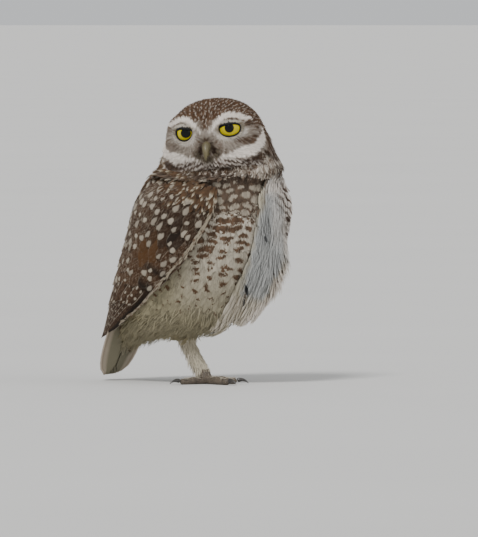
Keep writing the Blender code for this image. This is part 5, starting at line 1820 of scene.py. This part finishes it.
class OWL_OT_eyes(bpy.types.Operator):
    """Set both eyes with their pupils, and a dark rim of lid round each"""

    bl_idname = "owl.eyes"
    bl_label = "Eyes"

    def execute(self, context):
        colours = context.scene.owl_colours
        look = eye_material("iris and pupil", colours)
        rim = rim_material("lid rim")
        small = plumage_material("lid feathers", colours, colours.cream)
        for name, side in (("eye_right", -1), ("eye_left", 1)):
            self.ball(name, side, look)
            self.lids(name, side, rim)
            self.lashes(name, side, small)
        return {"FINISHED"}

    def lashes(self, name, side, look):
        """The smallest feathers, in rings on the outer half of the lids."""
        random = np.random.default_rng(31)
        count = 900
        turn = random.uniform(0, 2 * math.pi, count)
        over = np.maximum(np.sin(turn), 0)
        out = random.uniform(0.36 - 0.06 * over, 1.05, count)
        x, z = lid_line(side, turn, out)
        place = np.column_stack([x, 0.5 * out - 0.25 - lid_front(side, turn, x, z), z])
        away = unit(np.column_stack([x, 0.30 * np.hypot(x, z), z + 1.5 * over]))
        turned = (head_axes() @ eye_frame(side)[:3, :3]).T
        roots = {
            "place": from_eye(place, side), "flow": away @ turned,
            "normal": np.tile(np.array([0, -1.0, 0]) @ turned, (count, 1)),
            "unwrap": np.column_stack([x, z]) / 30 + 0.5,
        }
        coat(name + "_lashes", roots, head_looks, WISP, 1.8 * MM, 0.30 * MM, 0.20, 0.1, "pale_plumage",
             look, random)

    def ball(self, name, side, look):
        """The eyeball, with its cornea bulging out."""
        shape = globe(48, 40)
        direction = places(shape)[:, [0, 2, 1]] * (1, -1, 1)
        ahead = -direction[:, 1]
        across = np.hypot(direction[:, 0], direction[:, 2])
        inside = CORNEA_RADIUS**2 - (CORNEA_OUT * across) ** 2
        bulge = CORNEA_OUT * ahead + np.sqrt(np.maximum(inside, 0))
        reach = np.where((ahead > 0) & (inside > 0), np.maximum(EYE_RADIUS, bulge), EYE_RADIUS)
        local = direction * reach[:, None]
        put(shape, from_eye(local, side))
        aside, over = local[:, 0] - GAZE[side][0], local[:, 2] - GAZE[side][1]
        radius = np.where(ahead > 0, np.hypot(aside, over), 20)
        gaze = np.column_stack([radius, np.arctan2(over, aside), 0 * radius])
        shape_piece(name + "_ball", shape, look, "eye", (name,), gaze=gaze)

    def lids(self, name, side, look):
        """A dark rim round the eye, from a ring."""
        shape = bmesh.new()
        upright = Matrix.Rotation(math.pi / 2, 3, "X")
        bmesh.ops.create_circle(shape, segments=16, radius=LID_TUBE, cap_ends=False)
        bmesh.ops.rotate(shape, verts=shape.verts, cent=(0, 0, 0), matrix=upright)
        bmesh.ops.translate(shape, verts=shape.verts, vec=(1, 0, 0))
        bmesh.ops.spin(
            shape, geom=[*shape.verts, *shape.edges], cent=(0, 0, 0), axis=(0, 0, 1),
            angle=2 * math.pi, steps=48, use_merge=True, use_duplicate=False,
        )
        points = places(shape)
        turn = np.arctan2(points[:, 1], points[:, 0])
        out = (np.hypot(points[:, 0], points[:, 1]) - 1) / LID_TUBE
        lift = points[:, 2] / LID_TUBE
        x, z = lid_line(side, turn, (out + 1) / 2)
        thick = (0.30 + 0.35 * lift) * (0.5 + bell(out + 0.7, 0.4))
        y = 0.25 * (out + 1) - lid_front(side, turn, x, z) - thick
        put(shape, from_eye(np.column_stack([x, y, z]), side))
        shape_piece(name + "_lids", shape, look, "toe_skin")


class OWL_OT_beak(bpy.types.Operator):
    """Form the hooked upper beak, the lower beak and the bristles round them"""

    bl_idname = "owl.beak"
    bl_label = "Beak"

    def execute(self, context):
        colours = context.scene.owl_colours
        look = horn_material("beak horn", colours.horn, BEAK_DARK, 0.38)
        for name, profile, flatten in (("beak_upper", BEAK_UPPER, 1.35), ("beak_lower", BEAK_LOWER, 0.85)):
            rows = np.array(profile, float)
            rows[:, 2] = np.minimum(rows[:, 2] * 0.82, 3.3)
            line = from_head(np.column_stack([rows[:, 0] * 0, -rows[:, 0], rows[:, 1]]))
            rod(name + "_horn", line, rows[:, 2] * MM, 24, 28, look, "beak_horn", (name,), flatten, dome=4)
        self.bristles(colours)
        return {"FINISHED"}

    def bristles(self, colours):
        """Fine bristles round the beak."""
        random = np.random.default_rng(21)
        look = plumage_material("bristles", colours, colours.cream)
        count = 260
        side = random.choice((-1, 1), count)
        turn = random.uniform(-1.9, 0.5, count)
        reach = random.uniform(4.2, 7.0, count)
        x, z = side * np.cos(turn), np.sin(turn)
        flow = np.column_stack([x * 0.8, np.full(count, -0.35), z * 0.6 - 0.55])
        roots = {
            "place": from_head(np.column_stack([x * reach, reach * 0.25 - 30.6, z * reach * 0.9 - 1.0])),
            "normal": np.tile(np.array([0, -1.0, 0]) @ head_axes().T, (count, 1)),
            "flow": flow @ head_axes().T, "unwrap": np.column_stack([x, z]) * 0.4 + 0.5,
        }
        coat("bristles", roots, plain_looks(0.15, 0.55, 0.25), BRISTLE,
             6.0 * MM, 0.16 * MM, 0.30, 0.1, "pale_plumage", look, random, twist=0.25)


def heading_way(heading):
    """The way along the floor at a heading in degrees from the front towards +X."""
    return np.array([math.sin(math.radians(heading)), -math.cos(math.radians(heading)), 0])


def claw_line(start, ahead, up, length, bend):
    """The curve of a claw, from the first bend to the second, both in degrees down from straight ahead."""
    s = np.linspace(0, 1, 6)
    angle = np.radians(between(bend, s))[:, None]
    steps = (ahead * np.cos(angle) - up * np.sin(angle)) * length / 5
    return start + np.concatenate([[np.zeros(3)], np.cumsum(steps[:-1], axis=0)]), 1 - 0.92 * s**1.2


class OWL_OT_feet(bpy.types.Operator):
    """Shape the scaly toes and the claws of both feet"""

    bl_idname = "owl.feet"
    bl_label = "Feet"

    def execute(self, context):
        colours = context.scene.owl_colours
        scale = scale_material("toe scales", colours.scale)
        horn = horn_material("claw horn", CLAW, CLAW_DARK, 0.3)
        pad = np.array(FOOT_PAD) * MM
        rod("foot_pad", pad[:, :3], pad[:, 3], 24, 20, scale, "toe_skin", ("foot_right",), dome=3)
        for name, (heading, length, radius) in TOES.items():
            ahead = heading_way(heading)
            s = np.linspace(0, 1, 17)
            radii = radius * (1 - 0.26 * s) * (1 + 0.12 * np.cos(s * math.pi * 4)) * MM
            line = ahead * (0.5 * MM + (length + 1.5) * MM * s[:, None])
            line[:, 2] = radii
            rod(f"toe_{name}", line, radii, 20, 40, scale, "toe_skin", (f"toe_right_{name}",), dome=4)
            tip = radii[-1]
            start = line[-1] + (ahead * 0.2 + Z_WAY * 0.3) * MM
            nail, taper = claw_line(start, ahead, Z_WAY, 9.5 * MM, (-16, 58))
            size = taper * tip * 0.72
            nail[:, 2] = np.maximum(nail[:, 2], size + 0.1 * MM)
            rod(f"claw_{name}", nail, size, 14, 20, horn, "claw_horn", (f"claw_right_{name}",), dome=4)
        self.bristles(colours)
        self.drawn_foot(scale, horn)
        return {"FINISHED"}

    def bristles(self, colours):
        """Short pale hairs over the ankle and the backs of the toes."""
        random = np.random.default_rng(23)
        place, normal, flow = [], [], []
        for heading, length, radius in TOES.values():
            ahead = heading_way(heading)
            side = np.array([ahead[1], -ahead[0], 0])
            for share in random.uniform(0.05, 0.85, 70):
                lean = random.uniform(-0.9, 0.9)
                out = side * math.sin(lean) + Z_WAY * math.cos(lean)
                thick = radius * (1 - 0.26 * share) * MM * 0.95
                place.append(ahead * (0.5 + (length + 1.5) * share) * MM + (Z_WAY + out) * thick)
                normal.append(out)
                flow.append(ahead)
        for _ in range(260):
            turn, height = random.uniform(0, 2 * math.pi), random.uniform(5, 10.5)
            out = np.array([math.cos(turn), math.sin(turn), 0])
            place.append(np.array([0, 0.25 * height, height]) * MM + out * 4.1 * MM)
            normal.append(out)
            flow.append(-Z_WAY)
        count = len(place)
        roots = {
            "place": np.array(place), "normal": np.array(normal), "flow": np.array(flow),
            "unwrap": np.column_stack([np.arange(count) % 24, np.arange(count) // 24]) / 30 + 0.05,
        }
        look = plumage_material("toe bristles", colours, colours.cream)
        coat("toe_bristles", roots, plain_looks(0.35, 0.1), BRISTLE, 3.4 * MM, 0.16 * MM, 0.35, 0.1,
             "pale_plumage", look, random, twist=0.3)

    def drawn_foot(self, scale, horn):
        """The drawn-up foot, with its toes folded against the belly."""
        middle, normal, _ = body_point(*DRAWN_FOOT)
        down = unit(body_point(DRAWN_FOOT[0] - 0.03, DRAWN_FOOT[1])[0] - middle)
        across = np.cross(normal, down)
        ankle = np.array([middle - down * 5 * MM, middle - down * 2 * MM, middle + down * 2 * MM])
        rod("drawn_foot", ankle, np.array([4.0, 4.2, 4.0]) * MM, 16, 14, scale, "toe_skin", ("foot_left",))
        for name, i in (("inner", -1), ("middle", 0), ("outer", 1)):
            s = np.linspace(0, 1, 5)[:, None]
            line = middle + across * i * (3.0 + 0.9 * s) * MM + down * 8 * s * MM
            line = line + normal * (1.6 + 3.2 * np.sin(s * math.pi * 0.9)) * MM
            rod(f"drawn_toe_{name}", line, np.linspace(2.2, 1.7, 5) * MM, 14, 16, scale, "toe_skin")
            nail, taper = claw_line(line[-1] + down * 0.6 * MM, down, normal, 7 * MM, (-30, 45))
            rod(f"drawn_claw_{name}", nail, 1.4 * MM * taper, 12, 14, horn, "claw_horn",
                (f"claw_left_{name}",))


class OWL_OT_stage(bpy.types.Operator):
    """Set the floor, the lights and the camera"""

    bl_idname = "owl.stage"
    bl_label = "Stage"

    def execute(self, context):
        floor = add_object("floor", to_mesh("floor", flat_grid(1, 1, FLOOR_SIZE)))
        floor.data.materials.append(floor_material("pale floor"))
        right, up = Vector(ACROSS), Vector(Z_WAY)
        level = Vector((math.sin(VIEW_AZIMUTH), -math.cos(VIEW_AZIMUTH), 0))
        back = level * math.cos(VIEW_ELEVATION) + up * math.sin(VIEW_ELEVATION)
        camera = bpy.data.cameras.new("camera")
        camera.sensor_width = 36
        camera.lens = camera.sensor_width * VIEW_DISTANCE / VIEW_HEIGHT
        camera.clip_start, camera.clip_end = 0.1, 60
        eye = add_object("camera", camera)
        eye.location = right * VIEW_ASIDE + up * VIEW_UP + back * VIEW_DISTANCE
        eye.rotation_euler = (-back).to_track_quat("-Z", "Y").to_euler()
        bpy.context.scene.camera = eye
        self.light("key", right * -0.5 + back + up * 1.2, 14, 2.6)
        self.light("fill", right * 1.2 + back * 0.7 + up * 0.5, 60, 0.7)
        world = bpy.data.worlds.new("soft sky")
        world.use_nodes = True
        sky = world.node_tree.nodes["Background"].inputs
        sky[0].default_value, sky[1].default_value = SKY, 0.75
        bpy.context.scene.world = world
        return {"FINISHED"}

    def light(self, name, place, width, strength):
        """A far lamp, width degrees across as seen from the owl."""
        lamp = bpy.data.lights.new(name, "SUN")
        lamp.angle = math.radians(width)
        lamp.energy = strength
        thing = add_object(name, lamp)
        thing.location = place
        thing.rotation_euler = (-place).to_track_quat("-Z", "Y").to_euler()


STEPS = (
    OWL_OT_skin, OWL_OT_coat, OWL_OT_wings, OWL_OT_tail, OWL_OT_flank,
    OWL_OT_eyes, OWL_OT_beak, OWL_OT_feet, OWL_OT_stage,
)


class OWL_PT_panel(bpy.types.Panel):
    """Sizes, colours and the steps that dress the owl"""

    bl_label = "Owl"
    bl_idname = "OWL_PT_panel"
    bl_space_type = "VIEW_3D"
    bl_region_type = "UI"
    bl_category = "Owl"

    def draw(self, context):
        for group in (context.scene.owl_sizes, context.scene.owl_colours):
            for key in group.__annotations__:
                self.layout.prop(group, key)
        for step in STEPS:
            self.layout.operator(step.bl_idname)


CLASSES = (OwlSizes, OwlColours, *STEPS, OWL_PT_panel)


def register():
    for one in CLASSES:
        bpy.utils.register_class(one)
    bpy.types.Scene.owl_sizes = bpy.props.PointerProperty(type=OwlSizes)
    bpy.types.Scene.owl_colours = bpy.props.PointerProperty(type=OwlColours)


def unregister():
    del bpy.types.Scene.owl_sizes
    del bpy.types.Scene.owl_colours
    for one in reversed(CLASSES):
        bpy.utils.unregister_class(one)


def main():
    register()
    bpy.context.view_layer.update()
    bpy.ops.owl.skin()
    bpy.ops.owl.coat()
    bpy.ops.owl.wings()
    bpy.ops.owl.tail()
    bpy.ops.owl.flank()
    bpy.ops.owl.eyes()
    bpy.ops.owl.beak()
    bpy.ops.owl.feet()
    bpy.ops.owl.stage()


if __name__ == "__main__":
    main()
